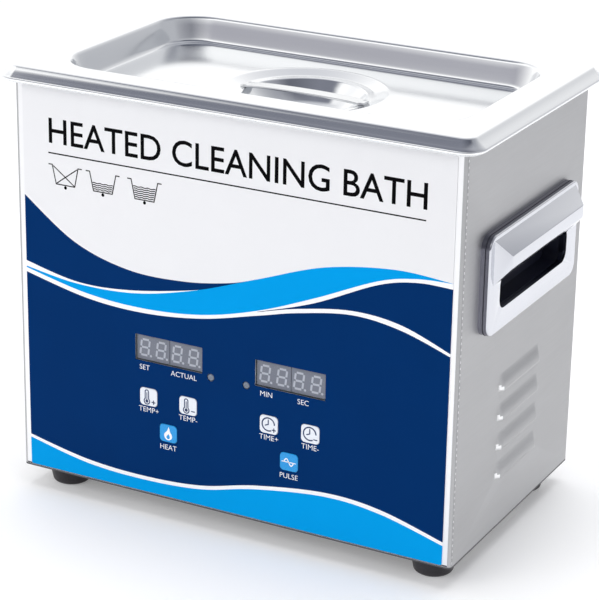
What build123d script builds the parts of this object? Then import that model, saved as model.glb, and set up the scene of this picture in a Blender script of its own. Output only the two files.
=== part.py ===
"""Bench-top ultrasonic cleaner with a heated three-litre tank.

A folded stainless housing stands on four rubber feet. A deep-drawn tank hangs in it by
its flange, with two bolt-clamped transducers bonded under its floor and a heater pad on
each long wall. A pan-shaped lid sits on the flange. The front carries a printed overlay
with two displays, two lamps and six keys; a grip with a finger pocket is let into each
side; the mains inlet and the power switch are in the rear wall, and a fan is in the base.

Millimetres. +Z is up, the front faces -Y, and the origin is on the floor under the
middle of the housing.
"""

from build123d import *
from math import atan2, cos, degrees, radians, sin, tan
import os

# ---------------------------------------------------------------- driving dimensions

SHEET = 1.0
GAP = 0.3

FOOT_H = 13.0
FOOT_TOP_R, FOOT_BASE_R, FOOT_EDGE_R = 13.0, 10.4, 2.5
FOOT_X, FOOT_Y, FOOT_WELL_R, FOOT_WELL_H = 114.0, 60.0, 4.6, 6.0
M4_HEAD_R, M4_HEAD_H, M4_R, M4_LENGTH, M4_CLEAR_R, M4_NUT_R, M4_NUT_H = 4.0, 2.6, 2.0, 12.5, 2.2, 4.0, 3.2
FOOT_SPOTS = [(x, y) for x in (-FOOT_X, FOOT_X) for y in (-FOOT_Y, FOOT_Y)]

BODY_W, BODY_D, BEND_R = 265.0, 160.0, 2.0
SIDE_SEAM_X = BODY_W / 2 - 3.0              # weld seams between the side panels and the rest
HOUSING_Z0, HOUSING_Z1 = FOOT_H + SHEET, 237.0
WALL_Z0, WALL_Z1 = HOUSING_Z0 + SHEET, HOUSING_Z1 - SHEET
BOTTOM_LIP = 12.0
BASE_SPOTS = [(x, y) for x in (-60.0, 60.0) for y in (-73.5, 73.5)]
BASE_SPOTS += [(x, y) for x in (-126.0, 126.0) for y in (-25.0, 25.0)]

TANK_W, TANK_D, TANK_DEPTH = 240.0, 135.0, 100.0
TANK_CORNER_R, TANK_FLOOR_R, TANK_GAP = 20.0, 12.0, 2.0
RIM_OPEN_W, RIM_OPEN_D = TANK_W + 2 * (SHEET + TANK_GAP), TANK_D + 2 * (SHEET + TANK_GAP)
SEAL_T, SEAL_W = 0.8, 6.0
FLANGE_T, FLANGE_OVER, FLANGE_R = 1.2, 6.0, 10.0
FLANGE_Z1 = HOUSING_Z1 + SEAL_T + FLANGE_T
TANK_FLOOR_Z = FLANGE_Z1 - TANK_DEPTH
TANK_UNDER_Z = TANK_FLOOR_Z - SHEET

LID_OVER, LID_R, LID_HEM = 8.5, 12.0, 5.0
LID_LIP_H, LID_SLOPE_H, LID_SLOPE_IN = 1.8, 5.2, 6.3
LID_TOP_Z = FLANGE_Z1 + LID_LIP_H + LID_SLOPE_H
LID_TAPER = degrees(atan2(LID_SLOPE_IN, LID_SLOPE_H))
PAN_W, PAN_D, PAN_R, PAN_DEPTH, PAN_TAPER = 234.0, 132.0, 24.0, 14.0, 19.0
PAN_FLOOR_Z = LID_TOP_Z - PAN_DEPTH
DISH_R, DISH_LEDGE_R, DISH_BOWL_R, DISH_BOTTOM_R = 45.0, 38.0, 34.0, 20.0
LEDGE_Z, BOWL_Z = PAN_FLOOR_Z - 2.5, PAN_FLOOR_Z - 14.5
STRAP_L, STRAP_W, STRAP_T, STRAP_RISE, STRAP_END = 75.0, 12.0, 1.2, 2.4, 4.0

OVERLAY_W, OVERLAY_T = 255.0, 0.4
OVERLAY_Z0, OVERLAY_Z1 = HOUSING_Z0 + 0.6, HOUSING_Z1 - 0.4

DISPLAY_X, DISPLAY_Z, DISPLAY_W, DISPLAY_H = 37.0, FOOT_H + 86.5, 41.5, 14.6
WINDOW_FRONT, WINDOW_RIM, WINDOW_RIM_T = 0.3, 1.5, 0.8
MODULE_W, MODULE_H, MODULE_T, MODULE_PITCH = 20.0, 13.6, 6.8, 20.4
LAMP_X, LAMP_Z, LAMP_R = 10.8, FOOT_H + 78.0, 2.05
LAMP_RIM_R, LAMP_RIM_T, LAMP_DOME_R = 2.7, 1.0, 0.8
KEY_W, KEY_H, KEY_R, KEY_EDGE_R = 10.8, 10.2, 2.2, 0.25
KEY_PROUD, KEY_RIM, KEY_RIM_T = 0.3, 1.2, 0.8
STEM_R, STEM_FIT, STEM_INTO = 1.6, 0.06, 0.8
KEY_UPPER_Z, KEY_LOWER_Z = FOOT_H + 58.5, FOOT_H + 39.6
KEYS = {
    "key_temp_up": (-49.6, KEY_UPPER_Z),
    "key_temp_down": (-24.8, KEY_UPPER_Z),
    "key_heater": (-37.2, KEY_LOWER_Z),
    "key_time_up": (24.8, KEY_UPPER_Z),
    "key_time_down": (49.6, KEY_UPPER_Z),
    "key_ultrasonic": (37.2, KEY_LOWER_Z),
}
TACT_W, TACT_H, TACT_WELL = 6.0, 3.6, 2.4
BOARD_BACK, BOARD_T, BOARD_W, BOARD_H, BOARD_Z = 9.2, 1.6, 130.0, 78.0, FOOT_H + 64.0
BOARD_SPOTS = [(x, BOARD_Z + z) for x in (-61.0, 61.0) for z in (-35.0, 35.0)]
POST_R, POST_BORE_R = 3.0, 1.6
M3_HEAD_R, M3_HEAD_H, M3_R, M3_CLEAR_R = 2.8, 1.8, 1.4, 1.7

GRIP_W, GRIP_H, GRIP_R, GRIP_T, GRIP_Z = 118.0, 54.0, 7.0, 5.5, FOOT_H + 148.8
GRIP_EDGE_R, GRIP_SEAM_Y = 0.9, 44.0
HOOD_OUT, HOOD_BASE_Y, HOOD_RIDGE_Y = 13.0, 55.0, 48.0
HOOD_BASE_LOW, HOOD_BASE_HIGH, HOOD_RIDGE_LOW, HOOD_RIDGE_HIGH = -0.5, 25.7, 9.5, 16.0
HOOD_WALL, HOOD_HOLLOW_H, HOOD_HOLLOW_UP = 1.8, 22.5, 10.2
SLOT_W, SLOT_LOW, SLOT_HIGH, SLOT_R = 90.0, -15.5, 3.5, 6.0
POCKET_W, POCKET_H, POCKET_UP, POCKET_R = 91.0, 37.0, 2.0, 5.0
POCKET_DEPTH, POCKET_WALL, POCKET_RIM, POCKET_RIM_T = 8.4, 1.2, 3.0, 0.6
GRIP_SPOTS = [(y, GRIP_Z + z) for y in (-54.0, 54.0) for z in (-20.5, 20.5)]

LOUVRE_W, LOUVRE_H, LOUVRE_OUT, LOUVRE_PITCH = 54.0, 10.0, 3.2, 16.9
LOUVRE_NARROW, LOUVRE_RIDGE_H, LOUVRE_RIDGE_UP = 9.0, 2.4, 1.6
LOUVRE_Z = [FOOT_H + 86.0 - LOUVRE_PITCH * i for i in range(4)]

TRANSDUCER_X = (-55.0, 55.0)
HORN_TOP_R, HORN_BASE_R, HORN_H = 29.5, 19.0, 22.0
PIEZO_R, PIEZO_BORE_R, PIEZO_T = 19.0, 7.0, 5.0
ELECTRODE_T, ELECTRODE_TAB = 0.4, 7.0
BACK_MASS_R, BACK_MASS_H = 19.0, 18.0
STUD_R, STUD_GAP, BOLT_HEAD_R, BOLT_HEAD_H = 5.0, 0.15, 8.0, 8.0

HEATER_W, HEATER_H, HEATER_T, HEATER_Z = 150.0, 50.0, 1.5, 190.0
SENSOR_R, SENSOR_H, SENSOR_LEAD_R, SENSOR_LEAD_H = 5.0, 8.0, 1.5, 4.0

FAN_X, FAN_Y, FAN_SIZE, FAN_H = -76.0, 0.0, 60.0, 15.0
FAN_BORE_R, FAN_HUB_R, FAN_HUB_H, FAN_STRUT = 28.0, 13.0, 2.2, 3.0
FAN_PIN_R, FAN_FIT, FAN_PIN_H = 1.5, 0.06, 9.0
ROTOR_LOW, ROTOR_HIGH, ROTOR_TIP_R, ROTOR_CAP = 3.0, 13.5, 27.2, 2.0
BLADES, BLADE_PITCH, BLADE_T, BLADE_CHORD = 7, 35.0, 1.2, 9.5
FAN_SPOTS = [(FAN_X + x, FAN_Y + y) for x in (-25.0, 25.0) for y in (-25.0, 25.0)]
GRILLE_HOLE_R = 2.2
GRILLE_RINGS = ((8.0, 6), (15.0, 12), (22.0, 18))

MAIN_X, MAIN_Y, MAIN_W, MAIN_D, MAIN_UP = 56.0, -8.0, 124.0, 96.0, 8.0
MAIN_Z0 = HOUSING_Z0 + MAIN_UP
MAIN_Z1 = MAIN_Z0 + BOARD_T
MAIN_SPOTS = [(MAIN_X + x, MAIN_Y + y) for x in (-57.0, 57.0) for y in (-43.0, 43.0)]
SINK_X, SINK_Y, SINK_W, SINK_D, SINK_H, FINS = MAIN_X - 8, MAIN_Y + 24, 70.0, 24.0, 32.0, 8
CORE_X, CORE_Y, CORE_W, CORE_D, CORE_H = MAIN_X + 34, MAIN_Y - 18, 34.0, 28.0, 26.0
CAP_R, CAP_H = 7.5, 26.0
CAP_SPOTS = [(MAIN_X - 30 + 18 * i, MAIN_Y - 16) for i in range(3)]
RIBBON_X, RIBBON_W, RIBBON_T, HEADER_H = 20.0, 22.0, 0.9, 6.0

INLET_X, INLET_Z = 84.0, 56.0
INLET_W, INLET_H, INLET_T = 34.0, 42.0, 2.2
INLET_BODY_W, INLET_BODY_H, INLET_DEPTH = 28.0, 36.0, 22.0
SOCKET_W, SOCKET_H, SOCKET_DEPTH, SOCKET_UP, SOCKET_R = 23.5, 16.5, 17.0, 6.0, 1.5
PIN_W, PIN_T, PIN_L = 2.0, 4.0, 15.0
PIN_SPOTS = [(-7.0, -2.0), (7.0, -2.0), (0.0, 2.0)]
DRAWER_W, DRAWER_H, DRAWER_DEPTH, DRAWER_DOWN, DRAWER_WALL = 24.0, 8.4, 17.0, 11.0, 1.2
FUSE_R, FUSE_L, FUSE_IN = 2.6, 20.0, 9.0

SWITCH_X, SWITCH_Z = 40.0, 56.0
SWITCH_W, SWITCH_H, SWITCH_T, SWITCH_DEPTH = 15.6, 22.0, 2.0, 14.0
SWITCH_WALL, ROCKER_W, ROCKER_H = 1.4, 9.6, 14.6
ROCKER_OUT, ROCKER_IN, ROCKER_DIP = 5.0, 3.5, 0.9
ROCKER_TILT, ROCKER_PIN_R, ROCKER_FIT = 7.0, 1.2, 0.06
PIVOT_Y = BODY_D / 2 - 1.5

BASKET_W, BASKET_D, BASKET_H, BASKET_R, BASKET_T = 214.0, 110.0, 58.0, 14.0, 1.6
MESH_PITCH, MESH_HOLE, MESH_X, MESH_Y, MESH_Z = 13.5, 10.9, 15, 7, 4
BASKET_Z0 = TANK_FLOOR_Z + 12.0
BAIL_R, BAIL_X, BAIL_Y, BAIL_OUT_X, BAIL_BEND_R = 1.1, 118.0, 22.0, 129.0, 2.2
BAIL_FOOT, BAIL_KNEE = 4.0, 10.0

# ---------------------------------------------------------------- planes and helpers

FLOOR = Plane.XY
FRONT = Plane(origin=(0, -BODY_D / 2, 0), x_dir=(1, 0, 0), z_dir=(0, -1, 0))
REAR = Plane(origin=(0, BODY_D / 2, 0), x_dir=(-1, 0, 0), z_dir=(0, 1, 0))
RIGHT = Plane(origin=(BODY_W / 2, 0, 0), x_dir=(0, 1, 0), z_dir=(1, 0, 0))
LEFT = Plane(origin=(-BODY_W / 2, 0, 0), x_dir=(0, -1, 0), z_dir=(-1, 0, 0))
FLANKS = {"right": RIGHT, "left": LEFT}
BOARD_REAR = REAR.offset(BOARD_BACK + BOARD_T - BODY_D)


def looking_down(z):
    """A plane at a height whose normal points down, for what hangs from above it."""
    return Plane(origin=(0, 0, z), x_dir=(1, 0, 0), z_dir=(0, 0, -1))


def write(piece, name):
    """Label a finished piece and write it to its own STEP file."""
    piece.part.label = name
    export_step(piece.part, f"parts/{name}.step")


def write_group(pieces, name):
    """Write the touching pieces of one welded sub-part to one STEP file."""
    solids = [solid for piece in pieces for solid in piece.part.solids()]
    export_step(Compound(label=name, children=solids), f"parts/{name}.step")


def block(plane, width, height, depth, radius=0.0, at=(0.0, 0.0), taper=0.0, mode=Mode.ADD):
    """A plain or rounded rectangle on a plane, extruded along the plane's normal."""
    with BuildSketch(plane) as outline:
        with Locations(at):
            if radius:
                RectangleRounded(width, height, radius)
            else:
                Rectangle(width, height)
    extrude(outline.sketch, amount=depth, taper=taper, mode=mode)


def rods(plane, radius, depth, spots=((0.0, 0.0),), mode=Mode.ADD):
    """Round rods at several spots of a plane, extruded along the plane's normal."""
    with BuildSketch(plane) as outline:
        with Locations(*spots):
            Circle(radius)
    extrude(outline.sketch, amount=depth, mode=mode)


def frustum(base, base_size, base_at, top, top_size, top_at, mode=Mode.ADD):
    """A straight-sided loft between two rectangles on parallel planes."""
    with BuildSketch(base) as lower:
        with Locations(base_at):
            Rectangle(*base_size)
    with BuildSketch(top) as upper:
        with Locations(top_at):
            Rectangle(*top_size)
    loft([lower.sketch, upper.sketch], mode=mode)


def screws(plane, spots, head_r, head_h, shank_r, shank_l):
    """Pan-head screws: the heads stand on the plane, and the shanks run back into it."""
    rods(plane, head_r, head_h, spots)
    rods(plane, shank_r, -shank_l, spots)


def panel_cutouts(plane, gap, depth):
    """Cut the openings for the displays, the lamps and the keys through the front."""
    with BuildSketch(plane) as openings:
        with Locations((-DISPLAY_X, DISPLAY_Z), (DISPLAY_X, DISPLAY_Z)):
            Rectangle(DISPLAY_W + 2 * gap, DISPLAY_H + 2 * gap)
        with Locations((-LAMP_X, LAMP_Z), (LAMP_X, LAMP_Z)):
            Circle(LAMP_R + gap)
        with Locations(*KEYS.values()):
            RectangleRounded(KEY_W + 2 * gap, KEY_H + 2 * gap, KEY_R + gap)
    extrude(openings.sketch, amount=depth, mode=Mode.SUBTRACT)


os.makedirs("parts", exist_ok=True)

# ---------------------------------------------------------------- housing and base

with BuildPart() as housing_walls:
    block(FLOOR.offset(WALL_Z0), BODY_W, BODY_D, WALL_Z1 - WALL_Z0, BEND_R)
    for flank in FLANKS.values():
        for z in LOUVRE_Z:
            frustum(flank.offset(-SHEET / 2), (LOUVRE_W, LOUVRE_H), (0, z),
                    flank.offset(LOUVRE_OUT), (LOUVRE_W - LOUVRE_NARROW, LOUVRE_RIDGE_H),
                    (0, z + LOUVRE_RIDGE_UP - LOUVRE_H / 2))
            frustum(flank.offset(-1.5 * SHEET), (LOUVRE_W - 3 * SHEET, LOUVRE_H - 2 * SHEET),
                    (0, z - 1.4 * SHEET), flank.offset(LOUVRE_OUT - SHEET),
                    (LOUVRE_W - LOUVRE_NARROW - 3 * SHEET, LOUVRE_RIDGE_H + SHEET),
                    (0, z - LOUVRE_H / 2), mode=Mode.SUBTRACT)
    block(FLOOR.offset(WALL_Z0 - 1), BODY_W - 2 * SHEET, BODY_D - 2 * SHEET,
          WALL_Z1 - WALL_Z0 + 2, BEND_R - SHEET, mode=Mode.SUBTRACT)
    panel_cutouts(FRONT.offset(SHEET / 2), GAP, -2 * SHEET)
    for flank in FLANKS.values():
        block(flank.offset(-1.5 * SHEET), POCKET_W + 2 * (POCKET_WALL + GAP),
              POCKET_H + 2 * (POCKET_WALL + GAP), 2 * SHEET, POCKET_R,
              (0, GRIP_Z + POCKET_UP), mode=Mode.SUBTRACT)
        rods(flank.offset(-1.5 * SHEET), M3_CLEAR_R, 2 * SHEET, GRIP_SPOTS, Mode.SUBTRACT)
    block(REAR.offset(-1.5 * SHEET), INLET_BODY_W + GAP, INLET_BODY_H + GAP, 2 * SHEET,
          at=(-INLET_X, INLET_Z), mode=Mode.SUBTRACT)
    block(REAR.offset(-1.5 * SHEET), SWITCH_W - 2 + GAP, SWITCH_H - 2 + GAP, 2 * SHEET,
          at=(-SWITCH_X, SWITCH_Z), mode=Mode.SUBTRACT)
    for sign in (-1, 1):
        split(bisect_by=Plane.YZ.offset(sign * SIDE_SEAM_X), keep=Keep.BOTH)

with BuildPart() as housing_rim:
    block(FLOOR.offset(WALL_Z1), BODY_W, BODY_D, SHEET, BEND_R)
    block(FLOOR.offset(WALL_Z1 - 1), RIM_OPEN_W, RIM_OPEN_D, SHEET + 2, TANK_CORNER_R,
          mode=Mode.SUBTRACT)
    for sign in (-1, 1):
        split(bisect_by=Plane.YZ.offset(sign * (RIM_OPEN_W / 2 - TANK_CORNER_R)),
              keep=Keep.BOTH)
        split(bisect_by=Plane.XZ.offset(sign * (RIM_OPEN_D / 2 - TANK_CORNER_R)),
              keep=Keep.BOTH)

with BuildPart() as housing_lip:
    block(FLOOR.offset(HOUSING_Z0), BODY_W, BODY_D, SHEET, BEND_R)
    block(FLOOR.offset(HOUSING_Z0 - 1), BODY_W - 2 * (SHEET + BOTTOM_LIP),
          BODY_D - 2 * (SHEET + BOTTOM_LIP), SHEET + 2, mode=Mode.SUBTRACT)
    rods(FLOOR.offset(HOUSING_Z0 - 1), M3_CLEAR_R, SHEET + 2, BASE_SPOTS, Mode.SUBTRACT)
    for sign in (-1, 1):
        split(bisect_by=Plane.XZ.offset(sign * (BODY_D / 2 - SHEET - BOTTOM_LIP)),
              keep=Keep.BOTH)
write_group([housing_walls, housing_rim, housing_lip], "housing_shell")

with BuildPart() as base_plate:
    block(FLOOR.offset(FOOT_H), BODY_W, BODY_D, SHEET, BEND_R)
    under = FLOOR.offset(FOOT_H - SHEET / 2)
    rods(under, M3_CLEAR_R, 2 * SHEET, BASE_SPOTS + FAN_SPOTS, Mode.SUBTRACT)
    rods(under, M4_CLEAR_R, 2 * SHEET, FOOT_SPOTS, Mode.SUBTRACT)
    for ring_r, count in GRILLE_RINGS:
        with BuildSketch(under):
            with Locations((FAN_X, FAN_Y)):
                with PolarLocations(ring_r, count):
                    Circle(GRILLE_HOLE_R)
        extrude(amount=2 * SHEET, mode=Mode.SUBTRACT)
write(base_plate, "base_plate")

with BuildPart() as base_screws:
    screws(looking_down(FOOT_H), [(x, -y) for x, y in BASE_SPOTS + FAN_SPOTS],
           M3_HEAD_R, M3_HEAD_H, M3_R, 6.0)
write(base_screws, "base_screws")

# ---------------------------------------------------------------- feet

for side_name, x in (("left", -FOOT_X), ("right", FOOT_X)):
    for end_name, y in (("front", -FOOT_Y), ("rear", FOOT_Y)):
        with BuildPart() as foot:
            with Locations((x, y, 0)):
                Cone(FOOT_BASE_R, FOOT_TOP_R, FOOT_H, align=(Align.CENTER, Align.CENTER, Align.MIN))
            fillet(foot.edges().group_by(Axis.Z)[0], FOOT_EDGE_R)
            rods(FLOOR.offset(-1), FOOT_WELL_R, FOOT_WELL_H + 1, [(x, y)], Mode.SUBTRACT)
            rods(FLOOR, M4_CLEAR_R, FOOT_H, [(x, y)], Mode.SUBTRACT)
        write(foot, f"foot_{end_name}_{side_name}")

with BuildPart() as foot_screws:
    screws(looking_down(FOOT_WELL_H), FOOT_SPOTS, M4_HEAD_R, M4_HEAD_H, M4_R, M4_LENGTH)
write(foot_screws, "foot_screws")

with BuildPart() as foot_nuts:
    with BuildSketch(FLOOR.offset(HOUSING_Z0)):
        with Locations(*FOOT_SPOTS):
            RegularPolygon(M4_NUT_R, 6)
            Circle(M4_R + GAP / 2, mode=Mode.SUBTRACT)
    extrude(amount=M4_NUT_H)
write(foot_nuts, "foot_nuts")

# ---------------------------------------------------------------- tank and its seal

with BuildPart() as tank_cavity:
    block(FLOOR.offset(TANK_FLOOR_Z), TANK_W, TANK_D, TANK_DEPTH + 5, TANK_CORNER_R)
    fillet(tank_cavity.edges().group_by(Axis.Z)[0], TANK_FLOOR_R)

with BuildPart() as tank:
    block(FLOOR.offset(TANK_UNDER_Z), TANK_W + 2 * SHEET, TANK_D + 2 * SHEET,
          TANK_DEPTH + SHEET, TANK_CORNER_R + SHEET)
    fillet(tank.edges().group_by(Axis.Z)[0], TANK_FLOOR_R + SHEET)
    block(FLOOR.offset(FLANGE_Z1 - FLANGE_T), BODY_W + 2 * FLANGE_OVER,
          BODY_D + 2 * FLANGE_OVER, FLANGE_T, FLANGE_R)
    add(tank_cavity.part, mode=Mode.SUBTRACT)
    for z in (TANK_FLOOR_Z + TANK_FLOOR_R + 1, FLANGE_Z1 - FLANGE_T):
        split(bisect_by=FLOOR.offset(z), keep=Keep.BOTH)
write_group([tank], "tank")

with BuildPart() as tank_seal:
    block(FLOOR.offset(HOUSING_Z1), RIM_OPEN_W + 2 * SEAL_W, RIM_OPEN_D + 2 * SEAL_W, SEAL_T,
          TANK_CORNER_R + SEAL_W)
    block(FLOOR.offset(HOUSING_Z1 - 1), RIM_OPEN_W, RIM_OPEN_D, SEAL_T + 2, TANK_CORNER_R,
          mode=Mode.SUBTRACT)
write(tank_seal, "tank_seal")

# ---------------------------------------------------------------- lid and its handle


def skirt(inset, low, high, mode=Mode.ADD):
    """The lid's lip and sloped shoulder as a solid, inset from its outside."""
    width, depth = BODY_W + 2 * (LID_OVER - inset), BODY_D + 2 * (LID_OVER - inset)
    bend_z = FLANGE_Z1 + LID_LIP_H - inset * tan(radians(LID_TAPER / 2))
    block(FLOOR.offset(low), width, depth, bend_z - low, LID_R - inset, mode=mode)
    block(FLOOR.offset(bend_z), width, depth, high - bend_z, LID_R - inset,
          taper=LID_TAPER, mode=mode)


def dish(grow, top_z, mode=Mode.ADD):
    """The round dish in the pan's floor, as a solid: a sloped ring, a ledge and a bowl."""
    with BuildSketch(Plane.XZ) as profile:
        with BuildLine():
            Polyline(
                (0, top_z), (DISH_R + grow, top_z), (DISH_LEDGE_R + grow, LEDGE_Z - grow),
                (DISH_BOWL_R + grow, LEDGE_Z - grow), (DISH_BOTTOM_R + grow / 2, BOWL_Z - grow),
                (0, BOWL_Z - grow), close=True)
        make_face()
    revolve(profile.sketch, axis=Axis.Z, mode=mode)


with BuildPart() as lid:
    skirt(0, FLANGE_Z1, LID_TOP_Z)
    skirt(SHEET, FLANGE_Z1 + SHEET, LID_TOP_Z - SHEET, Mode.SUBTRACT)
    block(FLOOR.offset(FLANGE_Z1 - 1), BODY_W + 2 * (LID_OVER - LID_HEM),
          BODY_D + 2 * (LID_OVER - LID_HEM), SHEET + 1.1, LID_R - LID_HEM, mode=Mode.SUBTRACT)
    block(looking_down(LID_TOP_Z), PAN_W + 2 * SHEET, PAN_D + 2 * SHEET, PAN_DEPTH + SHEET,
          PAN_R + SHEET, taper=PAN_TAPER)
    dish(SHEET, PAN_FLOOR_Z - SHEET / 2)
    block(looking_down(LID_TOP_Z), PAN_W, PAN_D, PAN_DEPTH, PAN_R, taper=PAN_TAPER,
          mode=Mode.SUBTRACT)
    dish(0, PAN_FLOOR_Z, Mode.SUBTRACT)
write(lid, "lid")

with BuildPart() as lid_handle:
    half, tab = STRAP_L / 2, STRAP_L / 2 - STRAP_END
    with BuildSketch(Plane.XZ.offset(-STRAP_W / 2)):
        with BuildLine():
            Polyline((-half, LEDGE_Z + STRAP_T), (-half, LEDGE_Z), (-tab, LEDGE_Z))
            ThreePointArc((-tab, LEDGE_Z), (0, LEDGE_Z + STRAP_RISE), (tab, LEDGE_Z))
            Polyline((tab, LEDGE_Z), (half, LEDGE_Z), (half, LEDGE_Z + STRAP_T))
            ThreePointArc((half, LEDGE_Z + STRAP_T), (0, LEDGE_Z + STRAP_RISE + 1.4 * STRAP_T),
                          (-half, LEDGE_Z + STRAP_T))
        make_face()
    extrude(amount=STRAP_W)
write(lid_handle, "lid_handle")

# ---------------------------------------------------------------- basket

with BuildPart() as basket_floor:
    block(FLOOR.offset(BASKET_Z0), BASKET_W, BASKET_D, BASKET_T, BASKET_R)
    with BuildSketch(FLOOR.offset(BASKET_Z0 - 1)):
        with GridLocations(MESH_PITCH, MESH_PITCH, MESH_X, MESH_Y):
            Rectangle(MESH_HOLE, MESH_HOLE)
    extrude(amount=BASKET_T + 2, mode=Mode.SUBTRACT)

with BuildPart() as basket_walls:
    block(FLOOR.offset(BASKET_Z0 + BASKET_T), BASKET_W, BASKET_D, BASKET_H - BASKET_T, BASKET_R)
    block(FLOOR.offset(BASKET_Z0), BASKET_W - 2 * BASKET_T, BASKET_D - 2 * BASKET_T,
          BASKET_H + 1, BASKET_R - BASKET_T, mode=Mode.SUBTRACT)
    mesh_mid_z = BASKET_Z0 + BASKET_H / 2
    with BuildSketch(Plane(origin=(0, 0, mesh_mid_z), x_dir=(1, 0, 0), z_dir=(0, 1, 0))):
        with GridLocations(MESH_PITCH, MESH_PITCH, MESH_X, MESH_Z):
            Rectangle(MESH_HOLE, MESH_HOLE)
    extrude(amount=BASKET_D, both=True, mode=Mode.SUBTRACT)
    with BuildSketch(Plane(origin=(0, 0, mesh_mid_z), x_dir=(0, 1, 0), z_dir=(1, 0, 0))):
        with GridLocations(MESH_PITCH, MESH_PITCH, MESH_Y, MESH_Z):
            Rectangle(MESH_HOLE, MESH_HOLE)
    extrude(amount=BASKET_W, both=True, mode=Mode.SUBTRACT)
    for sign in (-1, 1):
        split(bisect_by=Plane.YZ.offset(sign * MESH_PITCH * (MESH_X - 2) / 2), keep=Keep.BOTH)
        split(bisect_by=Plane.XZ.offset(sign * MESH_PITCH * (MESH_Y - 2) / 2), keep=Keep.BOTH)

bails = []
for sign in (-1, 1):
    root_x, rim_z = BASKET_W / 2 - BAIL_R, BASKET_Z0 + BASKET_H
    rest_z = FLANGE_Z1 + BAIL_R + GAP
    with BuildPart() as bail:
        with BuildLine() as wire:
            FilletPolyline(
                (sign * root_x, -BAIL_Y, rim_z), (sign * root_x, -BAIL_Y, rim_z + BAIL_FOOT),
                (sign * BAIL_X, -BAIL_Y, rim_z + BAIL_KNEE), (sign * BAIL_X, -BAIL_Y, rest_z),
                (sign * BAIL_OUT_X, -BAIL_Y, rest_z), (sign * BAIL_OUT_X, BAIL_Y, rest_z),
                (sign * BAIL_X, BAIL_Y, rest_z), (sign * BAIL_X, BAIL_Y, rim_z + BAIL_KNEE),
                (sign * root_x, BAIL_Y, rim_z + BAIL_FOOT), (sign * root_x, BAIL_Y, rim_z),
                radius=BAIL_BEND_R)
        with BuildSketch(Plane(origin=wire.line @ 0, z_dir=wire.line % 0)):
            Circle(BAIL_R)
        sweep(path=wire.line)
        for side in (-1, 1):
            split(bisect_by=Plane.XZ.offset(side * (BAIL_Y - BAIL_BEND_R)), keep=Keep.BOTH)
        for z in (rim_z + BAIL_KNEE, rest_z - BAIL_BEND_R):
            split(bisect_by=FLOOR.offset(z), keep=Keep.BOTH)
    bails.append(bail)
write_group([basket_floor, basket_walls, *bails], "basket")

# ---------------------------------------------------------------- front panel

with BuildPart() as front_overlay:
    block(FRONT, OVERLAY_W, OVERLAY_Z1 - OVERLAY_Z0, OVERLAY_T,
          at=(0, (OVERLAY_Z0 + OVERLAY_Z1) / 2))
    panel_cutouts(FRONT.offset(-0.2), GAP / 2, OVERLAY_T + 1)
write(front_overlay, "front_overlay")

for name, x in (("temp", -DISPLAY_X), ("time", DISPLAY_X)):
    with BuildPart() as display_window:
        block(FRONT.offset(-SHEET - WINDOW_RIM_T), DISPLAY_W, DISPLAY_H,
              SHEET + WINDOW_RIM_T + WINDOW_FRONT, at=(x, DISPLAY_Z))
        block(FRONT.offset(-SHEET - WINDOW_RIM_T), DISPLAY_W + 2 * WINDOW_RIM,
              DISPLAY_H + 2 * WINDOW_RIM, WINDOW_RIM_T, at=(x, DISPLAY_Z))
    write(display_window, f"display_window_{name}")

    with BuildPart() as digits:
        for shift in (-MODULE_PITCH / 2, MODULE_PITCH / 2):
            block(FRONT.offset(-BOARD_BACK), MODULE_W, MODULE_H, MODULE_T,
                  at=(x + shift, DISPLAY_Z))
    write(digits, f"digits_{name}")

for name, x in (("heater", -LAMP_X), ("ultrasonic", LAMP_X)):
    with BuildPart() as lamp:
        rods(FRONT.offset(-BOARD_BACK), LAMP_R, BOARD_BACK + OVERLAY_T, [(x, LAMP_Z)])
        fillet(lamp.edges().group_by(Axis.Y)[0], LAMP_DOME_R)
        rods(FRONT.offset(-BOARD_BACK), LAMP_RIM_R, LAMP_RIM_T, [(x, LAMP_Z)])
    write(lamp, f"led_{name}")

CAP_BACK = SHEET + GAP
RIM_BACK = CAP_BACK + KEY_RIM_T
TACT_TOP = BOARD_BACK - TACT_H

for name, spot in KEYS.items():
    with BuildPart() as key:
        block(FRONT.offset(-CAP_BACK), KEY_W, KEY_H, CAP_BACK + OVERLAY_T + KEY_PROUD, KEY_R, spot)
        fillet(key.edges().group_by(Axis.Y)[0], KEY_EDGE_R)
        block(FRONT.offset(-RIM_BACK), KEY_W + 2 * KEY_RIM, KEY_H + 2 * KEY_RIM, KEY_RIM_T,
              KEY_R, spot)
        rods(FRONT.offset(-RIM_BACK), STEM_R, RIM_BACK - TACT_TOP - STEM_INTO, [spot])
    write(key, name)

with BuildPart() as tact_switches:
    for spot in KEYS.values():
        block(FRONT.offset(-BOARD_BACK), TACT_W, TACT_W, TACT_H, at=spot)
    rods(FRONT.offset(-TACT_TOP + 1), STEM_R + STEM_FIT, -TACT_WELL - 1, KEYS.values(),
         Mode.SUBTRACT)
write(tact_switches, "tact_switches")

with BuildPart() as display_board:
    block(FRONT.offset(-BOARD_BACK - BOARD_T), BOARD_W, BOARD_H, BOARD_T, at=(0, BOARD_Z))
    rods(FRONT, POST_BORE_R, -2 * BOARD_BACK, BOARD_SPOTS, Mode.SUBTRACT)
write(display_board, "display_board")

with BuildPart() as board_standoffs:
    rods(FRONT.offset(-BOARD_BACK), POST_R, BOARD_BACK - SHEET, BOARD_SPOTS)
    rods(FRONT.offset(-BOARD_BACK - 1), POST_BORE_R, BOARD_BACK - SHEET, BOARD_SPOTS,
         Mode.SUBTRACT)
write(board_standoffs, "board_standoffs")

with BuildPart() as board_screws:
    screws(BOARD_REAR, BOARD_SPOTS, M3_HEAD_R, M3_HEAD_H, M3_R, 6.0)
write(board_screws, "board_screws")

# ---------------------------------------------------------------- side grips

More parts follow.
